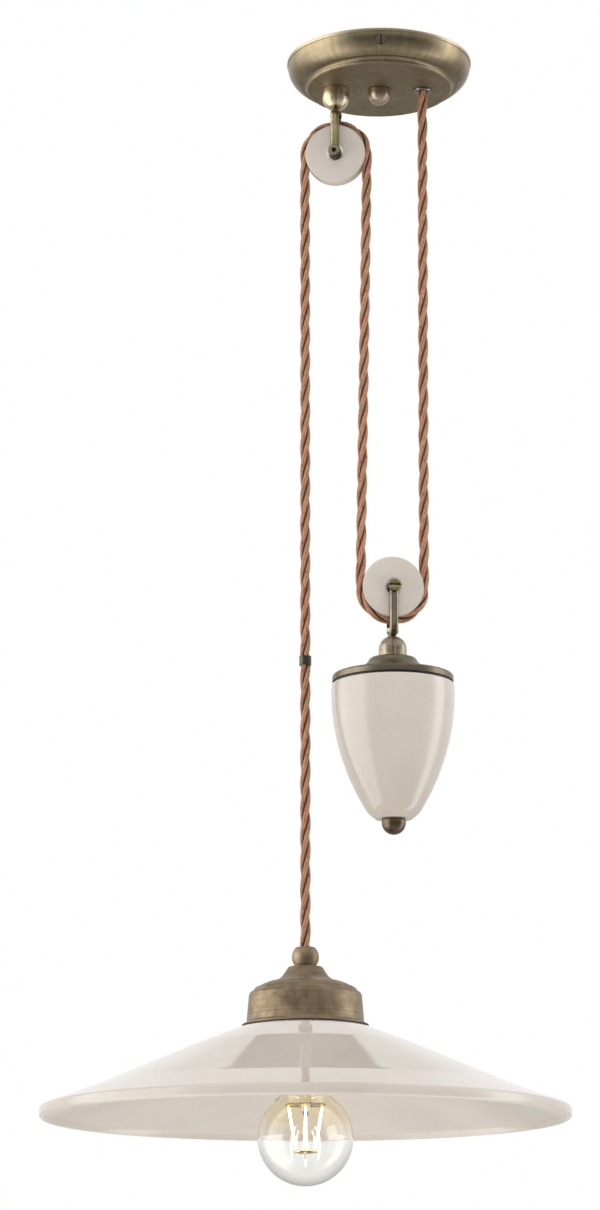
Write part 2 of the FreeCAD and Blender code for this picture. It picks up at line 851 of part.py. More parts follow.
def lower_hanger():
    """The moving pulley with the stirrup that the counterweight hangs from."""
    x, axle = s.weight_offset, lower_axle_z
    stand(stirrup("lower_stirrup"), x, 0, axle, TURNED_RIGHT_FLIPPED)
    lower_axle_screw()
    stand(axle_washers("lower_axle_washers"), x, 0, axle, LOWER_AXLE)
    stand(axle_nut("lower_axle_nut"), x, 0, axle, LOWER_AXLE)
    stand(pulley("lower_pulley"), x, 0, axle, LOWER_AXLE)
    stand(pulley_bush("lower_pulley_bush"), x, 0, axle, LOWER_AXLE)


# ---------------------------------------------------------------- counterweight


def counterweight_cap():
    """A spun brass lid: a flat boss under the dome, a hollow flare, a near-flat brim and a rim."""
    wall, rim, top, boss = s.cap_wall, s.cap_radius, s.cap_height, s.boss_radius
    hole = s.pivot_radius + s.seat
    body = turned(
        "counterweight_cap",
        (hole, top),
        (hole, top - wall),
        (boss - wall * 0.4, top - wall),
        (boss + 3.6 - wall, top - 4.2, -4.0),
        (boss + 8.6 - wall, top - 9.2),
        (boss + 17.4 - wall, top - 12.6 - wall, 14.0),
        (rim - 2.0, s.cap_rim + 1.4 - wall),
        (rim - wall, s.cap_rim - 0.6, -(2.0 - wall)),
        (rim - wall, 0),
        (rim, 0),
        (rim, s.cap_rim - 0.6),
        (rim - 2.0, s.cap_rim + 1.4, 2.0),
        (boss + 17.4, top - 12.6),
        (boss + 8.6, top - 8.6, -13.0),
        (boss + 3.6, top - 3.4),
        (boss, top, 4.4),
    )
    return stand(body, s.weight_offset, 0, cap_top_z - top)


def cap_seal():
    """The thin dark gasket between the lid and the urn."""
    outer, inner = s.cap_radius - 0.3, s.urn_radius - s.urn_wall - 3
    body = flat_washer("cap_seal", inner, outer, s.seal_thickness)
    return stand(body, s.weight_offset, 0, urn_top_z)


def urn_side(inset):
    """The urn's flank from its brim to its foot, as corners of a half section, set in by a wall."""
    outer, deep = s.urn_radius - inset, s.urn_height
    return (
        (outer, -deep * 0.06),
        (outer - s.urn_belly, -deep * 0.56, inset - s.urn_belly_bend),
        (outer - s.urn_waist + inset * 0.1, -deep * 0.927 + inset * 0.6, inset - s.urn_waist_bend),
    )


def counterweight_urn():
    """A glazed ceramic urn, open at the top, with a hole for the tie rod in its flat foot."""
    wall, deep, hole = s.urn_wall, s.urn_height, s.pivot_radius + s.cord_clearance
    brim, flank, waist = urn_side(sized(0))
    inner_brim, inner_flank, inner_waist = urn_side(wall)
    body = turned(
        "counterweight_urn",
        (hole, -deep),
        (hole, -deep + wall),
        (s.urn_foot - wall * 0.8, -deep + wall),
        (*inner_waist[:2], s.urn_foot_bend - wall * 0.8),
        (*inner_flank[:2], s.urn_waist_bend - wall),
        (*inner_brim[:2], s.urn_belly_bend - wall),
        (s.urn_radius - wall - 1.4, 0),
        (s.urn_radius - 2.2, 0),
        (s.urn_radius - 0.4, -2.2, -2.2),
        brim,
        flank,
        waist,
        (s.urn_foot + 1.2, -deep + 0.8, -s.urn_foot_bend),
        (s.urn_foot, -deep, -1.5),
    )
    return stand(body, s.weight_offset, 0, urn_top_z)


def counterweight_core():
    """The iron slug that fills the urn up to a set height and makes the weight."""
    inset = s.urn_wall + s.core_gap
    deep, hole = s.urn_height, s.pivot_radius + s.cord_clearance
    brim, flank, waist = urn_side(inset)
    floor = -deep + s.urn_wall
    body = turned(
        "counterweight_core",
        (hole, floor),
        (s.urn_foot - s.urn_wall - 0.5, floor),
        (*waist[:2], s.urn_foot_bend - inset * 0.7),
        (*flank[:2], s.urn_waist_bend - inset),
        (brim[0] - 1.3, -s.core_top, s.urn_belly_bend - inset),
        (hole, -s.core_top),
    )
    return stand(body, s.weight_offset, 0, urn_top_z)


def tie_rod():
    """The long screw from the stirrup's bridge through dome, lid and urn into the finial."""
    bridge = lower_axle_z - s.stirrup_drop + s.arm_thickness
    length = bridge + s.seat - urn_bottom_z + s.felt_thickness + s.finial_thread
    body = pivot_screw("tie_rod", length)
    return stand(body, s.weight_offset, 0, bridge + s.seat, FLIPPED)


def finial():
    """The half-ball nut under the urn."""
    radius, collar, hole = s.finial_radius, s.finial_collar, s.pivot_radius
    body = turned(
        "finial",
        (0, -collar - radius),
        (radius, -collar, radius),
        (radius, -0.6),
        (radius - 0.6, 0),
        (hole, 0),
        (hole, -s.finial_thread - 0.5),
        (0, -s.finial_thread - 0.5),
    )
    stand(body, s.weight_offset, 0, urn_bottom_z - s.felt_thickness)
    hole = s.pivot_radius + s.cord_clearance
    felt = flat_washer("finial_felt", hole, s.finial_radius - 0.8, s.felt_thickness)
    stand(felt, s.weight_offset, 0, urn_bottom_z - s.felt_thickness)


# ---------------------------------------------------------------- fitter, lampholder, shade, bulb


def cord_grip_ball():
    """A brass ball with flat ends: the cord enters its top and the nipple screws in from below."""
    radius, height = s.ball_radius, s.ball_height
    flat = root(radius * radius - height * height / 4)
    thread = s.nipple_radius
    body = turned(
        "cord_grip_ball",
        (cord_hole, -s.ball_socket),
        (s.nipple_bore, -s.ball_socket),
        (s.nipple_bore, -s.ball_socket - 1.6),
        (thread, -s.ball_socket - 1.6),
        (thread, -height),
        (flat, -height),
        (flat, 0, radius),
        (cord_hole, 0),
    )
    return stand(body, shade_x, shade_y, ball_top_z)


def fitter_cap():
    """A spun brass cover: an ogee neck, a stepped ring, a drum and a thin flared lip."""
    wall, top, foot = s.fitter_wall, s.fitter_height, s.ogee_foot
    drum, shoulder, lip, step = s.drum_radius, s.drum_shoulder, s.lip_radius, s.step_radius
    hole = s.nipple_radius + s.seat
    neck = s.fitter_top
    body = turned(
        "fitter_cap",
        (hole, top),
        (hole, top - wall),
        (neck - 0.8, top - wall),
        (neck + 3.0 - wall, top - 6.4),
        (neck + 13.6 - wall, top - 12.3 - wall * 0.4, 14.0),
        (foot - wall * 0.3, top - s.ogee_drop - wall * 1.2),
        (step - wall, top - s.step_drop - wall * 0.5),
        (shoulder - wall, top - s.drum_drop - wall * 0.4, -5.0),
        (drum - wall, s.lip_flare),
        (drum - wall, 0),
        (lip, 0),
        (lip, 0.7),
        (drum, s.lip_flare, -3.8),
        (shoulder, top - s.drum_drop),
        (step + 0.3, top - s.step_drop - 0.8, 4.4),
        (step, top - s.step_drop),
        (foot + 0.7, top - s.ogee_drop - 0.8, 4.6),
        (foot, top - s.ogee_drop),
        (neck + 13.6, top - 12.0, 34.0),
        (neck + 4.0, top - 5.2, -13.0),
        (neck + 1.6, top - 1.6),
        (neck, top, 2.2),
    )
    return stand(body, shade_x, shade_y, lip_z)


def shade_gasket():
    """The dark ring between the fitter's lip and the shade."""
    body = flat_washer("shade_gasket", s.drum_radius - 4, s.lip_radius - 0.5, s.gasket_thickness)
    return stand(body, shade_x, shade_y, shade_top_z)


def shade():
    """A wide ceramic cone with a flat top, a hole for the lampholder and an upright band for a rim."""
    wall, rim, deep, neck = s.shade_wall, s.shade_radius, s.shade_height, s.shade_neck
    flare, rounding, hole = s.flare_radius, s.rim_rounding, s.shade_hole
    band_top = -deep + s.rim_band
    cone_foot = band_top + s.flare_drop
    body = turned(
        "shade",
        (hole, 0),
        (hole, -wall),
        (neck - wall * 0.25, -wall),
        (flare - wall * 0.38, cone_foot - wall * 0.93),
        (rim - s.rim_lip, band_top - wall),
        (rim - wall, -deep + s.lip_rounding),
        (rim - rounding, -deep, s.lip_rounding * 1.4),
        (rim, -deep + s.rim_start, rounding),
        (rim, band_top - s.rim_start),
        (rim - s.rim_start, band_top, rounding),
        (flare, cone_foot),
        (neck, 0),
    )
    return stand(body, shade_x, shade_y, shade_top_z)


def nipple():
    """The threaded tube that joins ball, fitter and lampholder."""
    top = ball_top_z - s.ball_socket - 1.6
    bottom = holder_top_z - 2
    bore, radius = s.nipple_bore, s.nipple_radius
    height = top - bottom
    body = turned("nipple", (bore, 0), (radius, 0), (radius, height), (bore, height))
    return stand(body, shade_x, shade_y, bottom)


def nipple_nut():
    """The lock nut under the fitter's neck."""
    body = new_body("nipple_nut")
    sketch = hexagon(sketch_on(body, "XY_Plane"), s.nut_width * 1.4)
    circle(sketch, 0, 0, s.nipple_radius)
    pad(body, sketch, s.nut_height)
    return stand(body, shade_x, shade_y, fitter_top_z - s.fitter_wall - s.nut_height)


def lampholder_cap():
    """The lampholder's domed top with the thread for the nipple."""
    outer, wall, deep = s.holder_radius, s.holder_wall, s.holder_cap
    thread = s.nipple_radius
    body = turned(
        "lampholder_cap",
        (thread, 0),
        (thread, -wall - 2),
        (outer * 0.5, -wall - 2),
        (outer - wall, -deep + wall, -14.0),
        (outer - wall, -deep),
        (outer, -deep),
        (outer, -deep + 2.5),
        (thread + 4.0, -1.2, 15.0),
        (thread + 3.0, 0),
    )
    return stand(body, shade_x, shade_y, holder_top_z)


def lampholder_body():
    """The lampholder's sleeve below the cap, narrower towards its mouth."""
    outer, wall, deep = s.holder_radius, s.holder_wall, s.holder_height
    start = -s.holder_cap
    body = turned(
        "lampholder_body",
        (outer - wall, start),
        (outer - wall, -deep + 1.0),
        (outer - wall + 0.6, -deep),
        (outer - 1.0, -deep),
        (outer - 1.0, -deep + 14),
        (outer, -deep + 15),
        (outer, start),
    )
    return stand(body, shade_x, shade_y, holder_top_z)


def lampholder_ring():
    """The ribbed ring that screws up the lampholder and holds the shade against the fitter."""
    inner, outer, height = s.holder_radius + s.seat, s.ring_radius, s.ring_height
    body = turned(
        "lampholder_ring",
        (inner, 0),
        (inner, -height),
        (outer - 3.5, -height),
        (outer - 1.6, -1.8),
        (outer, -1.6),
        (outer, 0),
    )
    notch = circle(sketch_on(body, "XY_Plane"), s.ring_radius - 2.4, 0, 1.1)
    cut = pocket(body, notch, symmetric=True)
    repeat(body, [cut], 16)
    return stand(body, shade_x, shade_y, shade_top_z - s.shade_wall)


def lampholder_core():
    """The ceramic insert with the socket that the bulb screws into."""
    outer = s.holder_radius - s.holder_wall - 0.2
    start, end = -s.holder_cap - 1.0, -s.holder_height + 1.2
    socket = s.socket_radius
    body = turned(
        "lampholder_core",
        (0, start),
        (0, socket_top()),
        (socket, socket_top()),
        (socket, end),
        (outer, end),
        (outer, start),
    )
    return stand(body, shade_x, shade_y, holder_top_z)


def socket_top():
    """Roof of the lampholder's socket below the lampholder's own top, a tongue's height above the bulb."""
    return s.tongue_height - s.holder_depth


def contact_tongue():
    """The sprung brass contact in the roof of the socket, which meets the bulb's tip."""
    body = new_body("contact_tongue")
    strip = outline(
        sketch_on(body),
        (-9, s.tongue_height - 0.7),
        (-9, s.tongue_height),
        (-4, s.tongue_height),
        (3, 0.7),
        (4, 0.7),
        (4, 0.1),
        (2.6, 0.1),
        (-4.4, s.tongue_height - 0.7),
    )
    pad(body, strip, sized(6.0), symmetric=True)
    return stand(body, shade_x, shade_y, bulb_top_z)


def bulb_cap():
    """The bulb's screw base: a shell with a rolled thread, a skirt and an insulated tip."""
    radius, length = s.bulb_cap_radius, s.bulb_cap_length
    root_radius = radius - 0.9
    corners = [(0, 0), (4.2, 0), (5.4, -1.6), (root_radius - 1.5, -3.4), (root_radius, -5.0)]
    turns = 4
    pitch = (length - 9.0) / turns
    for turn in range(turns):
        start = -5.0 - pitch * turn
        corners.append((radius, start - pitch * 0.5))
        corners.append((root_radius, start - pitch))
    corners += [(root_radius, -length), (0, -length)]
    body = turned("bulb_cap", *corners[::-1])
    return stand(body, shade_x, shade_y, bulb_top_z)


def bulb_glass():
    """The clear globe with its neck, a thin shell closed where it meets the base."""
    globe, wall, neck = s.bulb_radius, s.bulb_wall, s.bulb_neck
    top = s.bulb_length - s.bulb_cap_length
    throat = globe * 2 - 7.6
    mouth = root(globe * globe - (throat - globe) * (throat - globe))
    inner_mouth = mouth - wall
    inner_globe = globe - wall
    inner_throat = globe + root(inner_globe * inner_globe - inner_mouth * inner_mouth)
    body = turned(
        "bulb_glass",
        (0, 0),
        (mouth, throat, globe),
        (neck, top, -48.0),
        (neck - wall, top),
        (inner_mouth, inner_throat, 49.0),
        (0, wall, -inner_globe),
    )
    return stand(body, shade_x, shade_y, bulb_bottom_z)


def bulb_stem():
    """The glass mount inside the bulb: a flare at the neck, a pinched rod and a pip at its end."""
    neck, stem = s.bulb_neck - s.bulb_wall, s.stem_radius
    top = s.bulb_length - s.bulb_cap_length
    globe = s.bulb_radius
    body = turned(
        "bulb_stem",
        (0, globe - 17.5),
        (1.4, globe - 16.4, 1.6),
        (1.5, globe + 18),
        (stem, globe + 24),
        (stem, top - 12),
        (neck - 0.4, top - 1, -9.0),
        (neck - 0.4, top),
        (0, top),
    )
    return stand(body, shade_x, shade_y, bulb_bottom_z)


def bulb_filaments():
    """Straight glowing rods that stand round the mount and lean outwards to their upper ends."""
    count = int(s.filament_count.value)
    rods = []
    for number in range(count):
        rod = doc.addObject("Part::Cylinder", "filament")
        rod.Radius = s.filament_radius.value
        rod.setExpression("Radius", s.filament_radius.formula)
        rod.Height = s.filament_length.value
        rod.setExpression("Height", s.filament_length.formula)
        angle = 360.0 * (number + 0.5) / count
        lean = FreeCAD.Rotation(FreeCAD.Vector(0, 1, 0), s.filament_lean.value)
        turn = FreeCAD.Rotation(FreeCAD.Vector(0, 0, 1), angle)
        base = turn.multVec(FreeCAD.Vector(s.filament_ring.value, 0, s.filament_foot.value))
        rod.Placement = FreeCAD.Placement(base, turn * lean)
        rods.append(rod)
    group = doc.addObject("Part::Compound", "bulb_filaments")
    group.Links = rods
    nodes.append(group)
    return stand(group, shade_x, shade_y, bulb_bottom_z)


def wire_ring(body, ring, height, hole):
    """A flat wire hoop with two spokes that reach in to a hole, its top or bottom at a height."""
    wire = s.filament_wire
    hoop = circle(sketch_on(body, "XY_Plane"), 0, 0, ring + wire)
    circle(hoop, 0, 0, ring - wire)
    spokes = sketch_on(body, "XY_Plane")
    rectangle(spokes, hole, -wire, ring, wire)
    rectangle(spokes, -ring, -wire, -hole, wire)
    for sketch in (hoop, spokes):
        sketch.setExpression("AttachmentOffset.Base.z", height.formula)
        pad(body, sketch, wire * 2)


def filament_frame():
    """The two wire rings, held on the mount by spokes, that carry the filaments' ends."""
    body = new_body("filament_frame")
    reach, tilt = s.filament_length, s.filament_lean
    dip = s.filament_radius * sine(tilt) + s.seat
    wire_ring(body, s.filament_ring, s.filament_foot - dip - s.filament_wire * 2, 1.7)
    top_ring = s.filament_ring + reach * sine(tilt)
    wire_ring(body, top_ring, s.filament_foot + reach * cosine(tilt) + dip, s.stem_radius + s.seat)
    return stand(body, shade_x, shade_y, bulb_bottom_z)


# ---------------------------------------------------------------- cord


def tail_level():
    """Height of the cord's tail where it runs level inside the canopy."""
    return -s.canopy_depth + s.gland_length + s.tail_bend


def tangent(x, axle_z, yaw, hand):
    """The point where the cord leaves a pulley on the right (hand 1) or the left (hand -1)."""
    reach = s.cord_bend * hand
    return x + reach * cosine(yaw), reach * sine(yaw), axle_z


def cord_run(name, top, bottom):
    """A taut straight stretch of cord between two points, short of both by half a joint."""
    run = doc.addObject("Part::Cylinder", name)
    nodes.append(run)
    start = FreeCAD.Vector(*(size.value for size in bottom))
    end = FreeCAD.Vector(*(size.value for size in top))
    steps = [high - low for high, low in zip(top, bottom)]
    length = root(steps[0] * steps[0] + steps[1] * steps[1] + steps[2] * steps[2]) - s.cord_joint * 2
    run.Radius = s.cord_radius.value
    run.setExpression("Radius", s.cord_radius.formula)
    run.Height = length.value
    run.setExpression("Height", length.formula)
    direction = (end - start).normalize()
    base = start + direction * s.cord_joint.value
    run.Placement = FreeCAD.Placement(base, FreeCAD.Rotation(FreeCAD.Vector(0, 0, 1), direction))
    return run


def cord_wrap(name, x, axle_z, rotation):
    """The half turn of cord in a pulley's groove."""
    wrap = doc.addObject("Part::Torus", name)
    nodes.append(wrap)
    for prop, size in (("Radius1", s.cord_bend), ("Radius2", s.cord_radius)):
        setattr(wrap, prop, size.value)
        wrap.setExpression(prop, size.formula)
    wrap.Angle3 = 180
    return stand(wrap, x, 0, axle_z, rotation)


def cord_tail():
    """The cord's last stretch inside the canopy: up out of the gland, over and level to the terminals."""
    tail = doc.addObject("Part::Feature", "cord_tail")
    nodes.append(tail)
    bend, radius = s.tail_bend.value, s.cord_radius.value
    heading = math.radians(s.tail_heading.value)
    ahead = FreeCAD.Vector(math.cos(heading), math.sin(heading), 0)
    up = FreeCAD.Vector(0, 0, 1)
    mouth = FreeCAD.Vector(s.fixture_offset.value, 0, (-s.canopy_depth + s.cord_joint).value)
    start = FreeCAD.Vector(s.fixture_offset.value, 0, (tail_level() - s.tail_bend).value)
    crown = start + ahead * bend + up * bend
    middle = start + ahead * bend * (1 - math.cos(math.pi / 4)) + up * bend * math.sin(math.pi / 4)
    end = crown + ahead * (s.tail_run - s.cord_joint).value
    edges = [
        Part.LineSegment(mouth, start).toShape(),
        Part.Arc(start, middle, crown).toShape(),
        Part.LineSegment(crown, end).toShape(),
    ]
    path = Part.Wire(edges)
    section = Part.Wire([Part.Circle(mouth, up, radius).toShape()])
    tail.Shape = path.makePipeShell([section], True, True)
    expected = math.pi * radius**2 * path.Length
    print(f"cord_tail: bend radius {bend:g}, volume {tail.Shape.Volume:.0f} of {expected:.0f}")
    return tail


def cord_clip():
    """The small brass clip round the shade's cord, split at the back."""
    inner = cord_hole
    body = new_body("cord_clip")
    sketch = circle(sketch_on(body, "XY_Plane"), 0, 0, inner + s.clip_wall)
    circle(sketch, 0, 0, inner)
    pad(body, sketch, s.clip_height)
    split = rectangle(sketch_on(body, "XY_Plane"), -0.7, 0, 0.7, inner + s.clip_wall + 1)
    pocket(body, split, symmetric=True)
    return stand(body, shade_x, shade_y, -s.clip_depth - s.clip_height)


def cord():
    """The whole cord: eyelet, round the lower pulley, over the upper one and down to the ball."""
    left_yaw, right_yaw = -s.yaw, s.yaw
    eyelet = (s.fixture_offset, sized(0), -s.canopy_depth - s.cord_joint)
    lower_right = tangent(s.weight_offset, lower_axle_z, right_yaw, 1)
    lower_left = tangent(s.weight_offset, lower_axle_z, right_yaw, -1)
    upper_right = tangent(-s.fixture_offset, upper_axle_z, left_yaw, 1)
    upper_left = tangent(-s.fixture_offset, upper_axle_z, left_yaw, -1)
    grip = (shade_x, shade_y, ball_top_z - s.ball_socket)
    cord_run("cord_run_fixed", eyelet, lower_right)
    cord_wrap("cord_wrap_lower", s.weight_offset, lower_axle_z, (s.yaw.value, 180, 90))
    cord_run("cord_run_middle", upper_right, lower_left)
    cord_wrap("cord_wrap_upper", -s.fixture_offset, upper_axle_z, (-s.yaw.value, 0, 90))
    cord_run("cord_run_shade", upper_left, grip)
    cord_tail()


# ---------------------------------------------------------------- the whole pendant


def build():
    """Makes every sub-part, from the ceiling down."""
    mounting_bracket()
    canopy()
    canopy_side_screws()
    centre_knob()
    floor = -s.canopy_depth + s.canopy_wall
    stand(hex_nut("centre_knob_nut", s.knob_shank_radius), z=floor)
    cord_eyelet()
    gland_nut()
    gland_screw()
    terminal_block()
    terminal_screws()
    upper_hanger()
    lower_hanger()
    stand(dome("lower_dome"), s.weight_offset, 0, cap_top_z)
    counterweight_cap()
    cap_seal()
    counterweight_urn()
    counterweight_core()
    tie_rod()
    finial()
    cord_grip_ball()
    fitter_cap()
    shade_gasket()
    shade()
    nipple()
    nipple_nut()
    lampholder_cap()
    lampholder_body()
    lampholder_ring()
    lampholder_core()
    contact_tongue()
    bulb_cap()
    bulb_glass()
    bulb_stem()
    bulb_filaments()
    filament_frame()
    cord()
    cord_clip()
    doc.recompute()


def check():
    """Stops if any object failed or any sub-part is empty or not a valid solid."""
    for thing in doc.Objects:
        if any(word in thing.State for word in ("Invalid", "Error")):
            raise ValueError(f"{thing.Name} failed: {thing.State}")
    for node in nodes:
        if node.Shape.isNull() or not node.Shape.isValid() or not node.Shape.Solids:
            raise ValueError(f"{node.Label} has no valid solid")


def write():
    """Writes each sub-part to its own file, named by its label."""
    os.makedirs("parts", exist_ok=True)
    for node in nodes:
        node.Shape.exportStep(f"parts/{node.Label}.step")
    print(f"{len(nodes)} sub-parts written")


build()
check()
write()
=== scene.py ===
import json
import math

import bmesh
import bpy
import numpy as np
from mathutils import Matrix, Vector


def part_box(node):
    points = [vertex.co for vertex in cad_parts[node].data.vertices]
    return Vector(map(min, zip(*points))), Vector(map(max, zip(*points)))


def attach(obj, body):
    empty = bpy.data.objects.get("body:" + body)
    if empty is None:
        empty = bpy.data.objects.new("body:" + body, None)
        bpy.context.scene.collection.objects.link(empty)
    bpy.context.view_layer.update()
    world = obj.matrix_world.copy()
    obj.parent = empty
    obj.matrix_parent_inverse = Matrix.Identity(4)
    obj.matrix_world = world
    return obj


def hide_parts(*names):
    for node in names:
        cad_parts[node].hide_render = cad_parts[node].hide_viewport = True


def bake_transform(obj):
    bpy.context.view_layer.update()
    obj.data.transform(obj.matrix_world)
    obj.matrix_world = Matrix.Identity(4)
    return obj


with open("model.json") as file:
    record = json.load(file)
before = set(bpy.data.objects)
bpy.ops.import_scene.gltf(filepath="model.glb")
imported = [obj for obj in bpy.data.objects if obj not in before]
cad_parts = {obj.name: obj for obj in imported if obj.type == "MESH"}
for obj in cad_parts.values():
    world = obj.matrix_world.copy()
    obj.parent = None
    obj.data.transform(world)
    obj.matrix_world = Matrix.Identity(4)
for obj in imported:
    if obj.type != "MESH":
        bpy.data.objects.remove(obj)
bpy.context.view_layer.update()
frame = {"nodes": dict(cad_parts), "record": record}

MM = 0.001
BODY_OF = {node: body for body, nodes in frame["record"]["behaviour"]["bodies"].items() for node in nodes}

# ------------------------------------------------------------------ places, read from the frame


def centre_of(node):
    """The middle of a node's box."""
    low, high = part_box(node)
    return (low + high) / 2


def foot_of(node, axis):
    """The point on an upright axis at the height of a node's lowest point."""
    return (axis.x, axis.y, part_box(node)[0].z)


def head_of(node, axis):
    """The point on an upright axis at the height of a node's highest point."""
    return (axis.x, axis.y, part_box(node)[1].z)


CANOPY_AXIS = Vector((0, 0, 0))
SHADE_AXIS = centre_of("shade")
WEIGHT_AXIS = centre_of("counterweight_urn")
UPPER_AXLE = centre_of("upper_pulley")
LOWER_AXLE = centre_of("lower_pulley")
YAW = math.radians(8.0)  # how far each pulley is turned from facing the viewer
DISC = -25.0 * MM  # height of the canopy's flat disc
REACH = 38.4 * MM  # how far the eyelet and the upper dome stand to either side of the canopy's middle
UNDER_ALL, OVER_ALL = -9.0, 9.0  # heights in metres that no piece reaches

# ------------------------------------------------------------------ node materials


class Signal:
    """One output of a shader node. Sums, products and the like of signals become Math nodes."""

    def __init__(self, finish, socket):
        self.finish = finish
        self.socket = socket

    def maths(self, operation, *terms):
        return self.finish.maths_of(operation, *terms)

    def __add__(self, other):
        return self.maths("ADD", self, other)

    __radd__ = __add__

    def __mul__(self, other):
        return self.maths("MULTIPLY", self, other)

    __rmul__ = __mul__

    def __sub__(self, other):
        return self.maths("SUBTRACT", self, other)

    def __rsub__(self, other):
        return self.maths("SUBTRACT", other, self)

    def __truediv__(self, other):
        return self.maths("DIVIDE", self, other)

    def power(self, exponent):
        return self.maths("POWER", self, exponent)

    def sine(self):
        return self.maths("SINE", self)

    def absolute(self):
        return self.maths("ABSOLUTE", self)


class Finish:
    """A material made of nodes round one Principled shader, whose plain numbers are set on its sockets."""

    def __init__(self, name, **numbers):
        self.material = bpy.data.materials.new(name)
        self.material.use_nodes = True
        self.tree = self.material.node_tree
        self.shader = next(n for n in self.tree.nodes if n.type == "BSDF_PRINCIPLED")
        for socket, number in numbers.items():
            self.shader.inputs[socket.replace("_", " ")].default_value = number

    def node(self, kind, settings, inputs, output=0):
        """Adds a node: its settings first, then a value or a link for each of its sockets."""
        made = self.tree.nodes.new(kind)
        for name, setting in settings.items():
            setattr(made, name, setting)
        for socket, value in inputs.items():
            if isinstance(value, Signal):
                self.tree.links.new(value.socket, made.inputs[socket])
            else:
                made.inputs[socket].default_value = value
        return Signal(self, made.outputs[output])

    def maths_of(self, operation, *terms):
        """One Math node of some numbers or signals."""
        return self.node("ShaderNodeMath", {"operation": operation}, dict(enumerate(terms)))

    def feed(self, socket, signal):
        """Feeds a signal to one of the shader's sockets."""
        self.tree.links.new(signal.socket, self.shader.inputs[socket])

    def place(self, output="Object"):
        """The point on the piece in the shared frame, or on its own UV map."""
        return self.node("ShaderNodeTexCoord", {}, {}, output)

    def apart(self, vector):
        """The three parts of a vector."""
        first = self.node("ShaderNodeSeparateXYZ", {}, {0: vector})
        made = first.socket.node
        return [Signal(self, made.outputs[index]) for index in range(3)]

    def together(self, x, y, z):
        """A vector of three numbers or signals."""
        return self.node("ShaderNodeCombineXYZ", {}, {0: x, 1: y, 2: z})

    def noise(self, vector, scale, detail=3.0, roughness=0.5):
        """Soft noise between 0 and 1."""
        values = {"Vector": vector, "Scale": scale, "Detail": detail, "Roughness": roughness}
        return self.node("ShaderNodeTexNoise", {}, values)

    def step(self, signal, low, high, start=0.0, end=1.0):
        """start below low, end above high, and a smooth rise between them."""
        values = {"Value": signal, "From Min": low, "From Max": high, "To Min": start, "To Max": end}
        return self.node("ShaderNodeMapRange", {"interpolation_type": "SMOOTHSTEP"}, values)

    def mix(self, share, first, second):
        """Mixes two colours by a share from 0 to 1."""
        values = {0: share, 6: first, 7: second}
        return self.node("ShaderNodeMix", {"data_type": "RGBA"}, values, output=2)

    def bump(self, height, distance, strength=1.0):
        """A bump of a given height in metres, fed to the shader's normal."""
        values = {"Height": height, "Distance": distance, "Strength": strength}
        self.feed("Normal", self.node("ShaderNodeBump", {}, values))


def colour(red, green, blue):
    """A linear colour from the three numbers that an eye dropper shows, 0 to 255."""
    return tuple((c / 255) ** 2.2 for c in (red, green, blue)) + (1.0,)


def around(finish, axis):
    """Distance from an upright axis, the angle's sine and cosine round it, and the height, as signals."""
    x, y, z = finish.apart(finish.place())
    x, y = x - axis.x, y - axis.y
    radius = (x * x + y * y).power(0.5)
    return radius, x / (radius + 1e-5), y / (radius + 1e-5), z


def antique_brass(name, axis, brown, olive, flat=UNDER_ALL, highlight_above=OVER_ALL, satin=0.0):
    """Lacquered antique brass: a cloudy patina from brown to olive, finely brushed round an axis.

    Below the height called flat, in metres, the brushed streaks fade, the lathe's rings stay, and satin is
    added to the roughness. Above the height given after flat, the edge gets a painted highlight of paler
    metal."""
    finish = Finish(name, Metallic=1.0)
    radius, across, along, height = around(finish, axis)
    drawn_out = finish.together(across * 46, along * 46, height * 14 + radius * 14)
    streaks = finish.noise(drawn_out, 1.6, 4.0, 0.62)
    rings = finish.noise(finish.together(radius * 900, height * 900, 0.0), 1.0, 2.0, 0.5)
    broad = finish.noise(finish.place(), 26.0, 3.0, 0.55)
    small = finish.noise(finish.place(), 120.0, 3.0, 0.6)
    clouds = broad * 0.5 + small * 0.5
    sloping = finish.step(height, flat, flat + 2 * MM)
    brushed = (streaks - 0.5) * (sloping * 0.53 + 0.12) + rings * 0.25 + 0.375
    tone = finish.step(brushed * 0.5 + clouds * 0.5, 0.34, 0.66)
    patina = finish.mix(tone, colour(*brown), colour(*olive))
    # painted highlight: above the height given after flat, the metal is mixed towards a paler colour
    highlight_and_wear = finish.step(height, highlight_above - 0.4 * MM, highlight_above + 0.4 * MM, 0.0, 0.9) * (clouds * 0.6 + 0.6)
    finish.feed("Base Color", finish.mix(highlight_and_wear, patina, colour(176, 162, 132)))
    finish.feed("Roughness", finish.step(brushed, 0.2, 0.8, 0.42, 0.30) + (1.0 - sloping) * satin)
    finish.bump(brushed, 0.00005, 0.4)
    return finish.material


def drawn_brass(name, brown, olive, satin=0.0):
    """Antique brass of the bent bars and domes: cloudy patina, with fine marks drawn along the height.

    satin is added to the roughness."""
    finish = Finish(name, Metallic=1.0)
    x, y, z = finish.apart(finish.place())
    drawn = finish.noise(finish.together(x * 700, y * 700, z * 90), 1.0, 2.0, 0.5)
    clouds = finish.noise(finish.place(), 120.0, 3.0, 0.55)
    tone = finish.step(drawn * 0.45 + clouds * 0.55, 0.36, 0.64)
    finish.feed("Base Color", finish.mix(tone, colour(*brown), colour(*olive)))
    finish.feed("Roughness", finish.step(drawn, 0.25, 0.75, 0.36 + satin, 0.28 + satin))
    finish.bump(drawn, 0.00002, 0.25)
    return finish.material


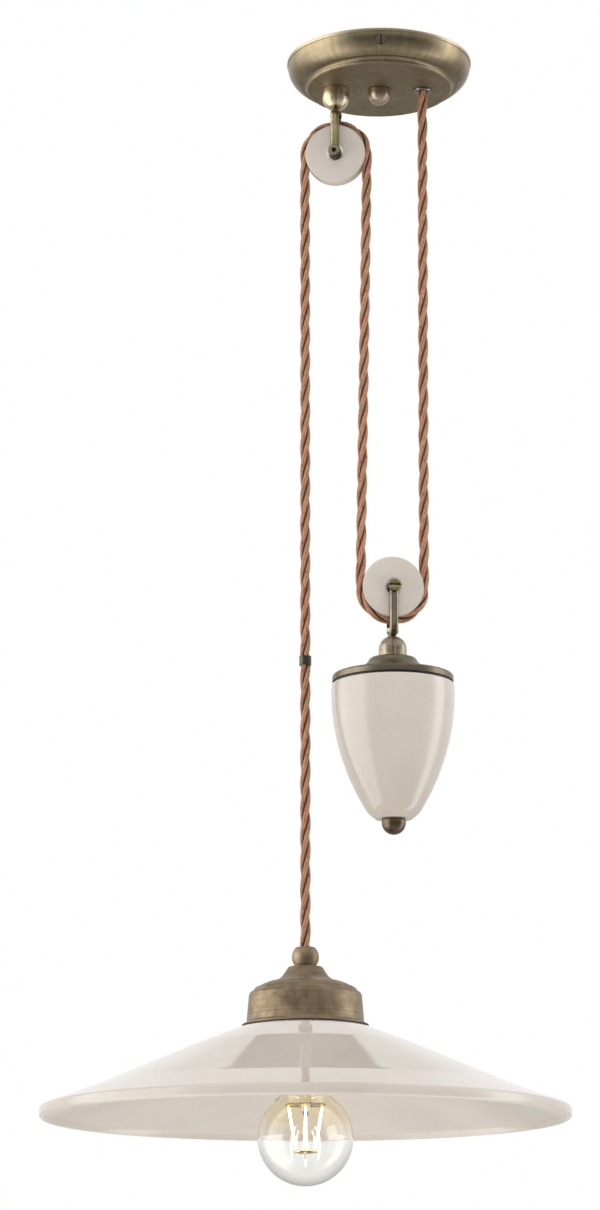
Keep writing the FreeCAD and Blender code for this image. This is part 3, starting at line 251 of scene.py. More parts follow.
def glazed_ceramic():
    """Ivory glaze: nearly even, a little warmer where it pools, with the faintest ripple."""
    finish = Finish("ivory_glaze", IOR=1.52)
    clouds = finish.noise(finish.place(), 9.0, 4.0, 0.55)
    specks = finish.noise(finish.place(), 420.0, 2.0, 0.6)
    warm, pale = colour(219, 209, 197), colour(227, 217, 206)
    pooled = finish.mix(finish.step(clouds, 0.35, 0.65), warm, pale)
    speckled = finish.mix(finish.step(specks, 0.70, 0.80, 0.0, 0.35), pooled, colour(196, 180, 158))
    finish.feed("Base Color", speckled)
    finish.feed("Roughness", finish.step(clouds, 0.3, 0.7, 0.03, 0.06))
    finish.bump(finish.noise(finish.place(), 38.0, 2.0, 0.4), 0.0002, 0.14)
    return finish.material


def plated_steel(name, tone):
    """Nickelled or bare metal with a cloudy polish."""
    finish = Finish(name, Metallic=1.0)
    clouds = finish.noise(finish.place(), 240.0, 2.0, 0.5)
    light = colour(*tone)
    dark = colour(*(0.86 * c for c in tone))
    finish.feed("Base Color", finish.mix(finish.step(clouds, 0.3, 0.7), dark, light))
    finish.feed("Roughness", finish.step(clouds, 0.3, 0.7, 0.20, 0.30))
    finish.bump(finish.noise(finish.place(), 900.0, 2.0, 0.5), 0.00002, 0.15)
    return finish.material


def screw_metal(name, node, axis, light, both_ends=False):
    """A screw's metal, with painted shade in its slot or socket: below its face, which is furthest along
    axis.

    With both_ends, the node holds two screws that face opposite ways."""
    finish = Finish(name, Metallic=1.0)
    vertices = np.zeros(len(frame["nodes"][node].data.vertices) * 3)
    frame["nodes"][node].data.vertices.foreach_get("co", vertices)
    reaches = vertices.reshape(-1, 3) @ np.array(axis)
    x, y, z = finish.apart(finish.place())
    along = x * axis[0] + y * axis[1] + z * axis[2]
    depth = reaches.max() - (along.absolute() if both_ends else along)
    # painted shade: the slot or socket below the face turns dark
    recess_shade = finish.step(depth, 0.25 * MM, 0.6 * MM)
    clouds = finish.noise(finish.place(), 500.0, 3.0, 0.55)
    dull, dark = (colour(*(share * c for c in light)) for share in (0.84, 0.34))
    highlight_and_wear = finish.mix(finish.step(clouds, 0.3, 0.7), dull, colour(*light))
    finish.feed("Base Color", finish.mix(recess_shade, highlight_and_wear, dark))
    finish.feed("Roughness", finish.step(clouds, 0.3, 0.7, 0.24, 0.36))
    finish.bump(clouds, 0.00003, 0.3)
    return finish.material


def bright_chrome():
    """Bright plating on the eyelet, with faint handling marks."""
    finish = Finish("bright_chrome", Metallic=1.0)
    marks = finish.noise(finish.place(), 900.0, 2.0, 0.5)
    finish.feed("Base Color", finish.mix(marks, colour(112, 110, 106), colour(146, 144, 140)))
    finish.feed("Roughness", finish.step(marks, 0.3, 0.7, 0.07, 0.16))
    return finish.material


def matt_black(name, scale=600.0):
    """Black rubber or moulded plastic with a fine grain."""
    finish = Finish(name, IOR=1.45)
    grain = finish.noise(finish.place(), scale, 3.0, 0.6)
    finish.feed("Base Color", finish.mix(grain, colour(12, 12, 13), colour(30, 29, 28)))
    finish.feed("Roughness", finish.step(grain, 0.3, 0.7, 0.55, 0.72))
    finish.bump(grain, 0.00005, 0.4)
    return finish.material


def porcelain():
    """Unglazed porcelain of the lampholder's insert, dusty white."""
    finish = Finish("porcelain", IOR=1.5)
    grain = finish.noise(finish.place(), 300.0, 4.0, 0.6)
    finish.feed("Base Color", finish.mix(grain, colour(214, 210, 200), colour(238, 235, 228)))
    finish.feed("Roughness", finish.step(grain, 0.3, 0.7, 0.38, 0.52))
    finish.bump(grain, 0.00005, 0.3)
    return finish.material


def white_plastic():
    """The terminal block's moulded plastic."""
    finish = Finish("white_plastic", IOR=1.46)
    grain = finish.noise(finish.place(), 500.0, 3.0, 0.5)
    finish.feed("Base Color", finish.mix(grain, colour(222, 220, 212), colour(238, 237, 231)))
    finish.feed("Roughness", finish.step(grain, 0.3, 0.7, 0.35, 0.5))
    return finish.material


def braided_cord():
    """Copper rayon braid over each core, woven on the diagonal, with stray red threads, and with painted
    shade in the grooves on each strand's side towards the cord's middle.

    u runs once round a strand, from its side away from the cord's middle, and v along it, to scale."""
    finish = Finish("braided_cord", IOR=1.45, Sheen_Weight=0.25, Sheen_Roughness=0.45)
    u, v, _ = finish.apart(finish.place("UV"))
    over, under = ((u * 8.0 + v * pitch) * math.tau / 2 for pitch in (6.0, -6.0))
    weave = over.sine().absolute() * under.sine().absolute()
    mottle = finish.noise(finish.place(), 520.0, 2.0, 0.6)
    patches = finish.noise(finish.place(), 95.0, 3.0, 0.6)
    fibres = finish.noise(finish.together(u * 40.0, v * 6.0, 0.0), 3.0, 2.0, 0.6)
    light = finish.step(weave * 0.50 + mottle * 0.50 + patches * 0.25 + fibres * 0.15, 0.42, 0.86)
    copper = finish.mix(light, colour(88, 52, 35), colour(249, 188, 145))
    flecks = finish.noise(finish.together(u * 3.0, v * 1.4, 4.0), 2.4, 1.0, 0.5)
    threads = finish.mix(finish.step(flecks, 0.66, 0.69), copper, colour(206, 66, 58))
    # painted shade: each strand's side towards the cord's middle, in the grooves, turns dark brown
    clear_of_groove_shade = finish.step((u - 0.5).absolute(), 0.16, 0.32)
    finish.feed("Base Color", finish.mix(clear_of_groove_shade, colour(34, 20, 13), threads))
    finish.feed("Roughness", finish.step(weave, 0.0, 1.0, 0.78, 0.5))
    finish.bump(weave * 0.8 + fibres * 0.2, 0.00028, 0.9)
    return finish.material


def clear_glass():
    """Thin clear bulb glass, with a painted warm glow towards its neck."""
    finish = Finish("clear_glass", IOR=1.45, Transmission_Weight=1.0)
    ripple = finish.noise(finish.place(), 40.0, 2.0, 0.4)
    _, _, z = finish.apart(finish.place())
    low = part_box("bulb_glass")[0].z
    # painted light: a warm tint for the lit shade seen through the upper glass, rising towards the neck
    painted_glow = finish.step(z, low + 42 * MM, low + 58 * MM)
    clear = finish.mix(ripple, colour(252, 251, 248), colour(255, 255, 253))
    finish.feed("Base Color", finish.mix(painted_glow, clear, colour(254, 249, 234)))
    finish.feed("Roughness", finish.step(ripple, 0.3, 0.7, 0.0, 0.015))
    return finish.material


def glowing_rods():
    """Filament rods that glow white, with yellow phosphor showing at their ends."""
    finish = Finish("glowing_rods", Roughness=0.5, Emission_Strength=10.0)
    _, _, z = finish.apart(finish.place())
    low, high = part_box("bulb_filaments")
    nearest = (z - (low.z + high.z) / 2).absolute()
    half = (high.z - low.z) / 2
    ends = finish.step(nearest, half - 3.4 * MM, half - 1.8 * MM)
    finish.feed("Base Color", finish.mix(ends, colour(255, 244, 214), colour(246, 214, 40)))
    finish.feed("Emission Color", finish.mix(ends, colour(255, 246, 222), colour(88, 76, 16)))
    return finish.material


def rolled_aluminium():
    """The bulb's rolled screw cap."""
    finish = Finish("rolled_aluminium", Metallic=1.0)
    marks = finish.noise(finish.place(), 500.0, 3.0, 0.55)
    finish.feed("Base Color", finish.mix(marks, colour(176, 174, 168), colour(206, 204, 198)))
    finish.feed("Roughness", finish.step(marks, 0.3, 0.7, 0.26, 0.4))
    return finish.material


# ------------------------------------------------------------------ surfaces


def side(start, end, bend):
    """Points from start to end, start left out: straight, or an arc of radius bend.

    The arc's centre lies left of the way from start to end for bend > 0, and right of it for bend < 0."""
    if not bend:
        return [end]
    start, end = np.array(start, float), np.array(end, float)
    chord = end - start
    radius = abs(bend)
    rise = math.sqrt(max(radius**2 - chord @ chord / 4, 0.0))
    left = np.array([-chord[1], chord[0]]) / np.linalg.norm(chord)
    centre = (start + end) / 2 + left * math.copysign(rise, bend)
    first = math.atan2(*(start - centre)[::-1])
    sweep = 2 * math.asin(min(1.0, np.linalg.norm(chord) / 2 / radius)) * math.copysign(1, bend)
    steps = max(3, math.ceil(abs(sweep) / math.radians(5)))
    angles = first + sweep * np.arange(1, steps + 1) / steps
    return list(centre + radius * np.stack([np.cos(angles), np.sin(angles)], axis=1))


def section(*corners):
    """A closed half section as (radius, height) points in metres, from corners in millimetres.

    A corner's third number is the radius of the arc that arrives at it."""
    points = []
    for before, corner in zip((corners[-1],) + corners[:-1], corners):
        bend = corner[2] if len(corner) > 2 else 0
        points += side(before[:2], corner[:2], bend)
    return np.array(points, float) * MM


def eased(points, ease=0.12 * MM):
    """The section with each sharp corner cut back a little on both sides, so that it catches light."""
    ways = np.stack([np.roll(points, 1, axis=0), np.roll(points, -1, axis=0)], axis=1) - points[:, None]
    reach = np.maximum(np.linalg.norm(ways, axis=2), 1e-9)
    turn = (ways[:, 0] * ways[:, 1]).sum(1) / (reach[:, 0] * reach[:, 1])
    sharp = (turn > -0.94) & (reach.min(axis=1) > 4 * ease) & (points[:, 0] > 1e-7)
    cut = np.where(sharp[:, None, None], ways / reach[:, :, None] * ease, 0.0)
    kept = np.stack([np.ones_like(sharp), sharp], axis=1)
    return (points[:, None] + cut)[kept]


def close_set(points, longest=5 * MM):
    """The section with points added on its long straight stretches, so that shading stays true there."""
    before = np.roll(points, 1, axis=0)
    stretch = points - before
    count = np.ceil(np.linalg.norm(stretch, axis=1) / longest).clip(1).astype(int)
    which = np.repeat(np.arange(len(points)), count)
    nth = 1 + np.arange(len(which)) - (np.cumsum(count) - count)[which]
    return before[which] + stretch[which] * nth[:, None] / count[which, None]


def as_piece(name, vertices, faces, material, uv=None, crease=32.0):
    """A closed, outward-facing, smooth-shaded piece from an array of vertices and a list of faces."""
    mesh = bpy.data.meshes.new(name)
    mesh.from_pydata(vertices.tolist(), [], faces)
    if uv is not None:
        layer = mesh.uv_layers.new(name="along")
        layer.data.foreach_set("uv", uv.astype(np.float32).ravel())
    shape = bmesh.new()
    shape.from_mesh(mesh)
    bmesh.ops.remove_doubles(shape, verts=shape.verts, dist=1e-7)
    bmesh.ops.dissolve_degenerate(shape, edges=shape.edges, dist=1e-8)
    bmesh.ops.recalc_face_normals(shape, faces=shape.faces)
    shape.to_mesh(mesh)
    shape.free()
    mesh.polygons.foreach_set("use_smooth", [True] * len(mesh.polygons))
    mesh.set_sharp_from_angle(angle=math.radians(crease))
    mesh.materials.append(material)
    piece = bpy.data.objects.new(name, mesh)
    bpy.context.scene.collection.objects.link(piece)
    return piece


def grid_faces(rows, columns, wrap_rows=False, wrap_columns=False):
    """The quads of a grid of vertices, as an array of four indices each."""
    r = np.arange(rows if wrap_rows else rows - 1)
    c = np.arange(columns if wrap_columns else columns - 1)
    i, j = (a.ravel() for a in np.meshgrid(r, c, indexing="ij"))
    i2, j2 = (i + 1) % rows, (j + 1) % columns
    return np.stack([i * columns + j, i * columns + j2, i2 * columns + j2, i2 * columns + j], axis=1)


def lathe(name, points, centre, material, facing=None, sides=160, slit=0.0):
    """A section spun about the axis through centre: x = r cos a, y = r sin a, z = height.

    facing turns the axis from +Z. With a slit, the spin runs from just past a = -90 degrees round to just
    short of it, half the slit's width away on each side, and the two cut ends are closed."""
    points = close_set(eased(points))
    radius, height = points[:, :1], points[:, 1:]
    if slit:
        gap = np.arcsin(np.clip(slit / 2 / np.maximum(radius, 1e-6), 0, 0.9))
        share = np.linspace(0, 1, sides + 1)[None, :]
        angle = -math.pi / 2 + gap + share * (math.tau - 2 * gap)
    else:
        angle = np.linspace(0, math.tau, sides, endpoint=False)[None, :] + 0 * radius
    grid = np.stack([radius * np.cos(angle), radius * np.sin(angle), height + 0 * angle], axis=-1)
    rows, columns = grid.shape[:2]
    faces = grid_faces(rows, columns, wrap_rows=True, wrap_columns=not slit).tolist()
    if slit:
        faces += [[row * columns for row in range(rows)], [row * columns + sides for row in range(rows)]]
    vertices = grid.reshape(-1, 3)
    if facing is not None:
        vertices = vertices @ np.array(facing).T
    return as_piece(name, vertices + np.array(centre), faces, material)


def facing_viewer(yaw):
    """The rotation that turns +Z towards the viewer and then by yaw about the upright."""
    return Matrix.Rotation(yaw, 3, "Z") @ Matrix.Rotation(math.pi / 2, 3, "X")


def put(piece, node):
    """The piece rides on its node's body, and stands for that node."""
    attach(piece, BODY_OF[node])
    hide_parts(node)
    return piece


def refined(node, material):
    """A node's own shape with its triangles joined, smooth faces and finely broken edges."""
    source = frame["nodes"][node].data
    shape = bmesh.new()
    shape.from_mesh(source)
    bmesh.ops.remove_doubles(shape, verts=shape.verts, dist=2e-6)
    bmesh.ops.dissolve_limit(
        shape, angle_limit=math.radians(0.5), verts=shape.verts, edges=shape.edges, delimit={"NORMAL"}
    )
    mesh = bpy.data.meshes.new(node + "_fine")
    shape.to_mesh(mesh)
    shape.free()
    mesh.materials.append(material)
    mesh.polygons.foreach_set("use_smooth", [True] * len(mesh.polygons))
    mesh.set_sharp_from_angle(angle=math.radians(30))
    piece = bpy.data.objects.new(node + "_fine", mesh)
    bpy.context.scene.collection.objects.link(piece)
    bevel = piece.modifiers.new("edge", "BEVEL")
    bevel.width = 0.12 * MM
    bevel.segments = 2
    bevel.limit_method = "ANGLE"
    bevel.angle_limit = math.radians(40)
    bevel.harden_normals = True
    return put(piece, node)


# ------------------------------------------------------------------ finishes in use

# the canopy's top edge, above -2.6 mm, gets a painted highlight
canopy_brass = antique_brass(
    "canopy_brass", CANOPY_AXIS, (122, 110, 90), (156, 141, 112), flat=-24.9 * MM, highlight_above=-2.6 * MM, satin=0.2
)
knob_brass = antique_brass("knob_brass", CANOPY_AXIS, (162, 145, 126), (198, 180, 160), flat=OVER_ALL)
weight_brass = antique_brass("weight_brass", WEIGHT_AXIS, (92, 84, 72), (128, 118, 101), flat=OVER_ALL)
finial_brass = antique_brass("finial_brass", WEIGHT_AXIS, (88, 77, 64), (116, 103, 86), flat=OVER_ALL)
fitter_brass = antique_brass(
    "fitter_brass", SHADE_AXIS, (97, 84, 68), (160, 141, 115), flat=OVER_ALL, satin=0.11
)
ball_brass = antique_brass(
    "ball_brass", SHADE_AXIS, (116, 101, 83), (168, 150, 125), flat=OVER_ALL, satin=0.16
)
dome_brass = drawn_brass("dome_brass", (184, 168, 136), (218, 204, 176))
lower_dome_brass = drawn_brass("lower_dome_brass", (128, 117, 100), (172, 160, 140), satin=0.14)
upper_stirrup_brass = drawn_brass("upper_stirrup_brass", (134, 122, 93), (170, 157, 122))
lower_stirrup_brass = drawn_brass("lower_stirrup_brass", (128, 118, 98), (164, 153, 130))
ivory = glazed_ceramic()
steel = plated_steel("plated_steel", (158, 153, 143))
bright_washer = plated_steel("bright_washer", (236, 233, 226))
dark_steel = plated_steel("dark_steel", (84, 80, 72))
wire = plated_steel("support_wire", (176, 160, 122))
bare_brass = plated_steel("bare_brass", (196, 172, 112))
chrome = bright_chrome()
rubber = matt_black("black_rubber")
thermoset = matt_black("black_thermoset", 300.0)
cord_braid = braided_cord()
glass = clear_glass()

# ------------------------------------------------------------------ canopy


def canopy():
    """The spun cup: rolled edge, convex side, hollow shoulder, bead and flat disc."""
    deep, wall = 25.0, 0.9
    points = section(
        (0, -deep),
        (61.4, -deep),
        (62.4, -25.4, 1.4),
        (64.4, -22.4, 2.4),
        (68.8, -20.3, -5.0),
        (70.1, -20.1, 2.2),
        (80.9, -3.2, 18.6),
        (81.6, -2.5, 1.0),
        (81.6, -0.5),
        (81.1, 0, 0.5),
        (80.2, 0),
        (80.2, -3.2),
        (69.23, -19.5, -17.7),
        (63.5, -21.5, 5.9),
        (60.5, -deep + wall),
        (0, -deep + wall),
    )
    return put(lathe("canopy_shell", points, CANOPY_AXIS, canopy_brass, sides=256), "canopy")


def centre_knob():
    """Half-ball knob on a short collar, with its stud up through the canopy."""
    ball, stud, stud_top = 9.8, 3.0, 6.9
    points = section(
        (0, -14.0),
        (ball, -4.2, ball),
        (ball, -0.8),
        (9.0, 0, 0.8),
        (stud, 0),
        (stud, stud_top),
        (0, stud_top),
    )
    return put(lathe("centre_knob_turned", points, (0, 0, DISC), knob_brass, sides=96), "centre_knob")


def cord_eyelet():
    """The bright rolled ring and the gland's sleeve above it."""
    bore, sleeve, flange, top = 4.3, 6.2, 8.1, 12.0
    points = section(
        (bore, top),
        (bore, -1.2),
        (5.5, -2.4, 1.2),
        (6.5, -2.4),
        (flange, -0.8, 1.6),
        (flange, 0),
        (sleeve, 0),
        (sleeve, top),
    )
    return put(lathe("cord_eyelet_ring", points, (REACH, 0, DISC), chrome, sides=96), "cord_eyelet")


# ------------------------------------------------------------------ pulleys and domes


def dome(node, centre, upside_down, material):
    """A hollow half-ball on a collar, split down its front by a fine slit."""
    radius, wall, hole, height = 12.0, 1.6, 3.1, 19.0
    crown = height - math.sqrt(radius**2 - hole**2)
    inner = radius - wall
    points = section(
        (inner, 0),
        (radius - 0.5, 0),
        (radius, 0.5, 0.5),
        (radius, crown),
        (hole, height, radius),
        (hole, crown + math.sqrt(inner**2 - hole**2)),
        (inner, crown, -inner),
    )
    facing = Matrix.Rotation(math.pi, 3, "Y") if upside_down else None
    piece = lathe(node + "_spun", points, centre, material, facing, sides=112, slit=0.6 * MM)
    return put(piece, node)


def pulley(node, centre, yaw):
    """Glazed wheel: flat cheeks, soft edges and a round groove, its bore left for the bush."""
    half, rim, bore, edge, groove, bend = 6.5, 26.5, 4.2, 1.2, 4.4, 27.6
    mouth = math.sqrt(groove**2 - (bend - rim) ** 2)
    points = section(
        (bore, -half),
        (rim - edge, -half),
        (rim, -half + edge, edge),
        (rim, -mouth),
        (rim, mouth, -groove),
        (rim, half - edge),
        (rim - edge, half, edge),
        (bore, half),
    )
    return put(lathe(node + "_wheel", points, centre, ivory, facing_viewer(yaw), sides=144), node)


# ------------------------------------------------------------------ counterweight


def counterweight_cap():
    """Spun lid: flat boss, rounded shoulder, hollow flare, brim and rolled rim."""
    hole, top, rim, inner_rim = 3.1, 21.0, 51.7, 50.6
    points = section(
        (hole, top),
        (hole, 19.9),
        (17.16, 19.9),
        (20.1, 16.8, -4.0),
        (25.1, 11.8),
        (33.9, 7.3, 14.0),
        (49.7, 4.9),
        (inner_rim, 4.0, -0.9),
        (inner_rim, 0),
        (rim, 0),
        (rim, 4.0),
        (49.7, 6.0, 2.0),
        (35.0, 8.4),
        (26.2, 12.4, -13.0),
        (21.2, 17.6),
        (17.6, top, 4.4),
    )
    foot = foot_of("counterweight_cap", WEIGHT_AXIS)
    return put(lathe("counterweight_lid", points, foot, weight_brass, sides=208), "counterweight_cap")


def counterweight_urn():
    """Glazed urn: soft brim, bellied flank tapering to a small flat foot."""
    outer, deep, wall, hole = 52.9, 116.3, 5.0, 3.3
    brim, waist, heel = deep * 0.06, deep * 0.56, deep * 0.927
    points = section(
        (hole, -deep),
        (hole, -deep + wall),
        (11.3, -deep + wall),
        (outer - wall - 28.3, -heel + 3.0, 20.0),
        (outer - wall - 9.3, -waist, 191.0),
        (outer - wall, -brim, 182.0),
        (outer - wall - 1.4, 0),
        (outer - 2.2, 0),
        (outer - 0.4, -2.2, -2.2),
        (outer, -brim),
        (outer - 9.3, -waist, -187.0),
        (outer - 28.8, -heel, -196.0),
        (16.5, -deep + 0.8, -24.0),
        (15.3, -deep, -1.5),
    )
    head = head_of("counterweight_urn", WEIGHT_AXIS)
    return put(lathe("counterweight_urn_glazed", points, head, ivory, sides=208), "counterweight_urn")


def cap_seal():
    """The thin black gasket, its edge a little rounded."""
    points = section((45.0, 0), (51.1, 0), (51.4, 0.3, 0.3), (51.4, 1.5), (51.1, 1.8, 0.3), (45.0, 1.8))
    foot = foot_of("cap_seal", WEIGHT_AXIS)
    return put(lathe("cap_seal_ring", points, foot, rubber, sides=160), "cap_seal")


def finial():
    """Half-ball nut under the urn, with a blind hole for the tie rod."""
    ball, hole, hole_depth = 10.3, 3.0, 7.5
    points = section(
        (0, -12.7),
        (ball, -2.4, ball),
        (ball, -0.6),
        (9.7, 0, 0.6),
        (hole, 0),
        (hole, -hole_depth),
        (0, -hole_depth),
    )
    head = head_of("finial", WEIGHT_AXIS)
    return put(lathe("finial_turned", points, head, finial_brass, sides=96), "finial")


# ------------------------------------------------------------------ fitter, shade, lampholder


def unmirrored(piece):
    """The piece isn't mirrored in the glaze below it, as in the photograph."""
    piece.visible_glossy = False
    return piece


def cord_grip_ball():
    """Ball with flat ends, bored for the cord."""
    ball, half, cord_hole, throat, thread = 11.4, 8.2, 4.3, 3.8, 5.0
    flat = math.sqrt(ball**2 - half**2)
    points = section(
        (cord_hole, -7.0),
        (throat, -7.0),
        (throat, -8.6),
        (thread, -8.6),
        (thread, -half * 2),
        (flat, -half * 2),
        (flat, 0, ball),
        (cord_hole, 0),
    )
    head = head_of("cord_grip_ball", SHADE_AXIS)
    piece = lathe("cord_grip_ball_turned", points, head, ball_brass, sides=128)
    return unmirrored(put(piece, "cord_grip_ball"))


def fitter_cap():
    """Spun cover: ogee neck, stepped ring, drum and thin flared lip."""
    top, wall, hole, drum, lip = 49.1, 1.0, 5.1, 48.0, 52.9
    points = section(
        (hole, top),
        (hole, top - wall),
        (12.8, top - wall),
        (15.6, top - 6.4),
        (26.2, top - 12.7, 14.0),
        (37.9, top - 17.4),
        (42.4, top - 20.3),
        (46.3, top - 24.8, -5.0),
        (drum, 4.0),
        (drum, 0),
        (lip, 0),
        (lip, 0.7),
        (49.0, 4.0, -3.8),
        (47.3, top - 24.4),
        (43.7, top - 20.6, 4.4),
        (43.4, top - 19.8),
        (38.9, top - 17.0, 4.6),
        (38.2, top - 16.2),
        (27.2, top - 12.0, 34.0),
        (17.6, top - 5.2, -13.0),
        (15.2, top - 1.6),
        (13.6, top, 2.2),
    )
    piece = lathe("fitter_cap_spun", points, foot_of("fitter_cap", SHADE_AXIS), fitter_brass, sides=208)
    return unmirrored(put(piece, "fitter_cap"))


def shade_gasket():
    """The dark ring under the fitter's lip."""
    points = section((45.0, 0), (52.4, 0), (52.4, 1.0), (45.0, 1.0))
    foot = foot_of("shade_gasket", SHADE_AXIS)
    return put(lathe("shade_gasket_ring", points, foot, rubber, sides=160), "shade_gasket")


def shade():
    """Wide glazed cone with a flat crown and a short upright band for a rim.

    Outside, it turns a little steeper below the crown and flatter above the rim. Inside, it is straight
    down to the flare."""
    wall, hole, neck, rim, deep, band = 4.5, 20.9, 52.4, 220.2, 76.8, 9.8
    crown, crown_drop = 94.0, 16.0
    flare, flare_rise = 176.0, 15.6
    inner_flare, inner_rise = 190.0, 9.8
    start, rounding, lip = 2.2, 3.0, 1.2
    band_top = band - deep
    points = section(
        (hole, 0),
        (hole, -wall),
        (neck - wall * 0.25, -wall),
        (inner_flare - wall * 0.38, band_top + inner_rise - wall * 0.93),
        (rim - 6.2, band_top - wall),
        (rim - wall, lip - deep),
        (rim - rounding, -deep, lip * 1.4),
        (rim, start - deep, rounding),
        (rim, band_top - start),
        (rim - start, band_top, rounding),
        (flare, band_top + flare_rise),
        (crown, -crown_drop),
        (neck, 0),
    )
    return put(lathe("shade_glazed", points, head_of("shade", SHADE_AXIS), ivory, sides=320), "shade")


def bulb_glass():
    """The clear globe and neck, a shell with an outer and an inner wall."""
    globe, wall, neck, top = 39.8, 0.9, 12.6, 95.0
    throat = globe * 2 - 7.6
    mouth = math.sqrt(globe**2 - (throat - globe) ** 2)
    inner = globe - wall
    inner_throat = globe + math.sqrt(inner**2 - (mouth - wall) ** 2)
    points = section(
        (0, 0),
        (mouth, throat, globe),
        (neck, top, -48.0),
        (neck - wall, top),
        (mouth - wall, inner_throat, 49.0),
        (0, wall, -inner),
    )
    return put(lathe("bulb_globe", points, foot_of("bulb_glass", SHADE_AXIS), glass, sides=144), "bulb_glass")


# ------------------------------------------------------------------ cord


STRAND_RADIUS = 2.12 * MM
STRAND_OFFSET = 2.36 * MM  # from the cord's middle to each strand's
TWIST_PITCH = 68.0 * MM
BEND = 27.6 * MM  # radius of the cord's middle round a pulley
HALF_CORNER = math.sqrt(0.5)  # a spline point's weight that makes the corner a quarter circle


def route(points):
    """The line of a spline through a cord's chosen points; a fourth number is a point's weight."""
    curve = bpy.data.curves.new("route", "CURVE")
    curve.dimensions = "3D"
    curve.resolution_u = 32
    spline = curve.splines.new("NURBS")
    spline.points.add(len(points) - 1)
    for place, point in zip(spline.points, points):
        place.co = tuple(point[:3]) + (point[3] if len(point) > 3 else 1.0,)
    spline.use_endpoint_u = True
    spline.use_bezier_u = len(points) > 2
    spline.order_u = 3 if len(points) > 2 else 2
    holder = bpy.data.objects.new("route", curve)
    bpy.context.scene.collection.objects.link(holder)
    bpy.context.view_layer.update()
    mesh = bpy.data.meshes.new_from_object(holder)
    line = np.zeros(len(mesh.vertices) * 3)
    mesh.vertices.foreach_get("co", line)
    bpy.data.objects.remove(holder)
    bpy.data.curves.remove(curve)
    bpy.data.meshes.remove(mesh)
    return line.reshape(-1, 3)


def evenly(line, spacing):
    """The line's points at even distances along it, with those distances."""
    lengths = np.linalg.norm(np.diff(line, axis=0), axis=1)
    reached = np.concatenate([[0.0], np.cumsum(lengths)])
    count = max(4, int(round(reached[-1] / spacing)) + 1)
    wanted = np.linspace(0, reached[-1], count)
    return np.stack([np.interp(wanted, reached, line[:, axis]) for axis in range(3)], axis=1), wanted


def unit(vectors):
    """Each vector brought to length one."""
    return vectors / np.linalg.norm(vectors, axis=-1, keepdims=True)


def twisted(name, line, axle_start, axle_end, begin):
    """Three strands that wind round a line: each centre is line + offset (n cos a + b sin a).

    a grows by a full turn each pitch, and each strand is a round tube about its own centre line.
    b follows the pulleys' axles from one end of the line to the other, and n is b x t."""
    points, distance = evenly(line, 2.2 * MM)
    share = (distance / distance[-1])[:, None]
    tangent = unit(np.gradient(points, distance, axis=0))
    across = np.array(axle_start) * (1 - share) + np.array(axle_end) * share
    across = unit(across - (across * tangent).sum(1, keepdims=True) * tangent)
    normal = np.cross(across, tangent)
    around_tube = np.linspace(0, math.tau, 15)[:, None]
    vertices, faces, uvs = [], [], []
    for strand in range(3):
        turn = ((begin + distance) / TWIST_PITCH * math.tau + strand * math.tau / 3)[:, None]
        outward = normal * np.cos(turn) + across * np.sin(turn)
        centre = points + STRAND_OFFSET * outward
        ahead = unit(np.gradient(centre, distance, axis=0))
        out = unit(outward - (outward * ahead).sum(1, keepdims=True) * ahead)
        aside = np.cross(ahead, out)
        ring = out[:, None] * np.cos(around_tube) + aside[:, None] * np.sin(around_tube)
        grid = centre[:, None] + ring * STRAND_RADIUS
        grid = np.concatenate([centre[:1, None] + 0 * grid[:1], grid, centre[-1:, None] + 0 * grid[:1]])
        rows, columns = grid.shape[:2]
        quads = grid_faces(rows, columns)
        along = np.concatenate([distance[:1], distance, distance[-1:]]) + begin
        corner_u = (quads % columns) / (columns - 1)
        corner_v = along[quads // columns] / (math.tau * STRAND_RADIUS)
        uvs.append(np.stack([corner_u, corner_v], axis=-1).reshape(-1, 2))
        faces.append(quads + sum(len(v) for v in vertices))
        vertices.append(grid.reshape(-1, 3))
    faces, uvs = np.concatenate(faces).tolist(), np.concatenate(uvs)
    piece = as_piece(name, np.concatenate(vertices), faces, cord_braid, uvs, crease=80.0)
    return piece, points, begin + distance[-1]


def tangent_point(axle, yaw, hand):
    """Where the cord leaves a pulley, to the right for hand 1 and to the left for hand -1."""
    return (axle.x + BEND * math.cos(yaw) * hand, axle.y + BEND * math.sin(yaw) * hand, axle.z)


def half_turn(axle, yaw, way):
    """Five points of the half circle round a pulley from right to left, above (way 1) or below (-1)."""
    right, left = tangent_point(axle, yaw, 1), tangent_point(axle, yaw, -1)
    lift = Vector((0, 0, BEND * way))
    crown = Vector(axle) + lift
    corner_right, corner_left = Vector(right) + lift, Vector(left) + lift
    return [right, (*corner_right, HALF_CORNER), tuple(crown), (*corner_left, HALF_CORNER), left]


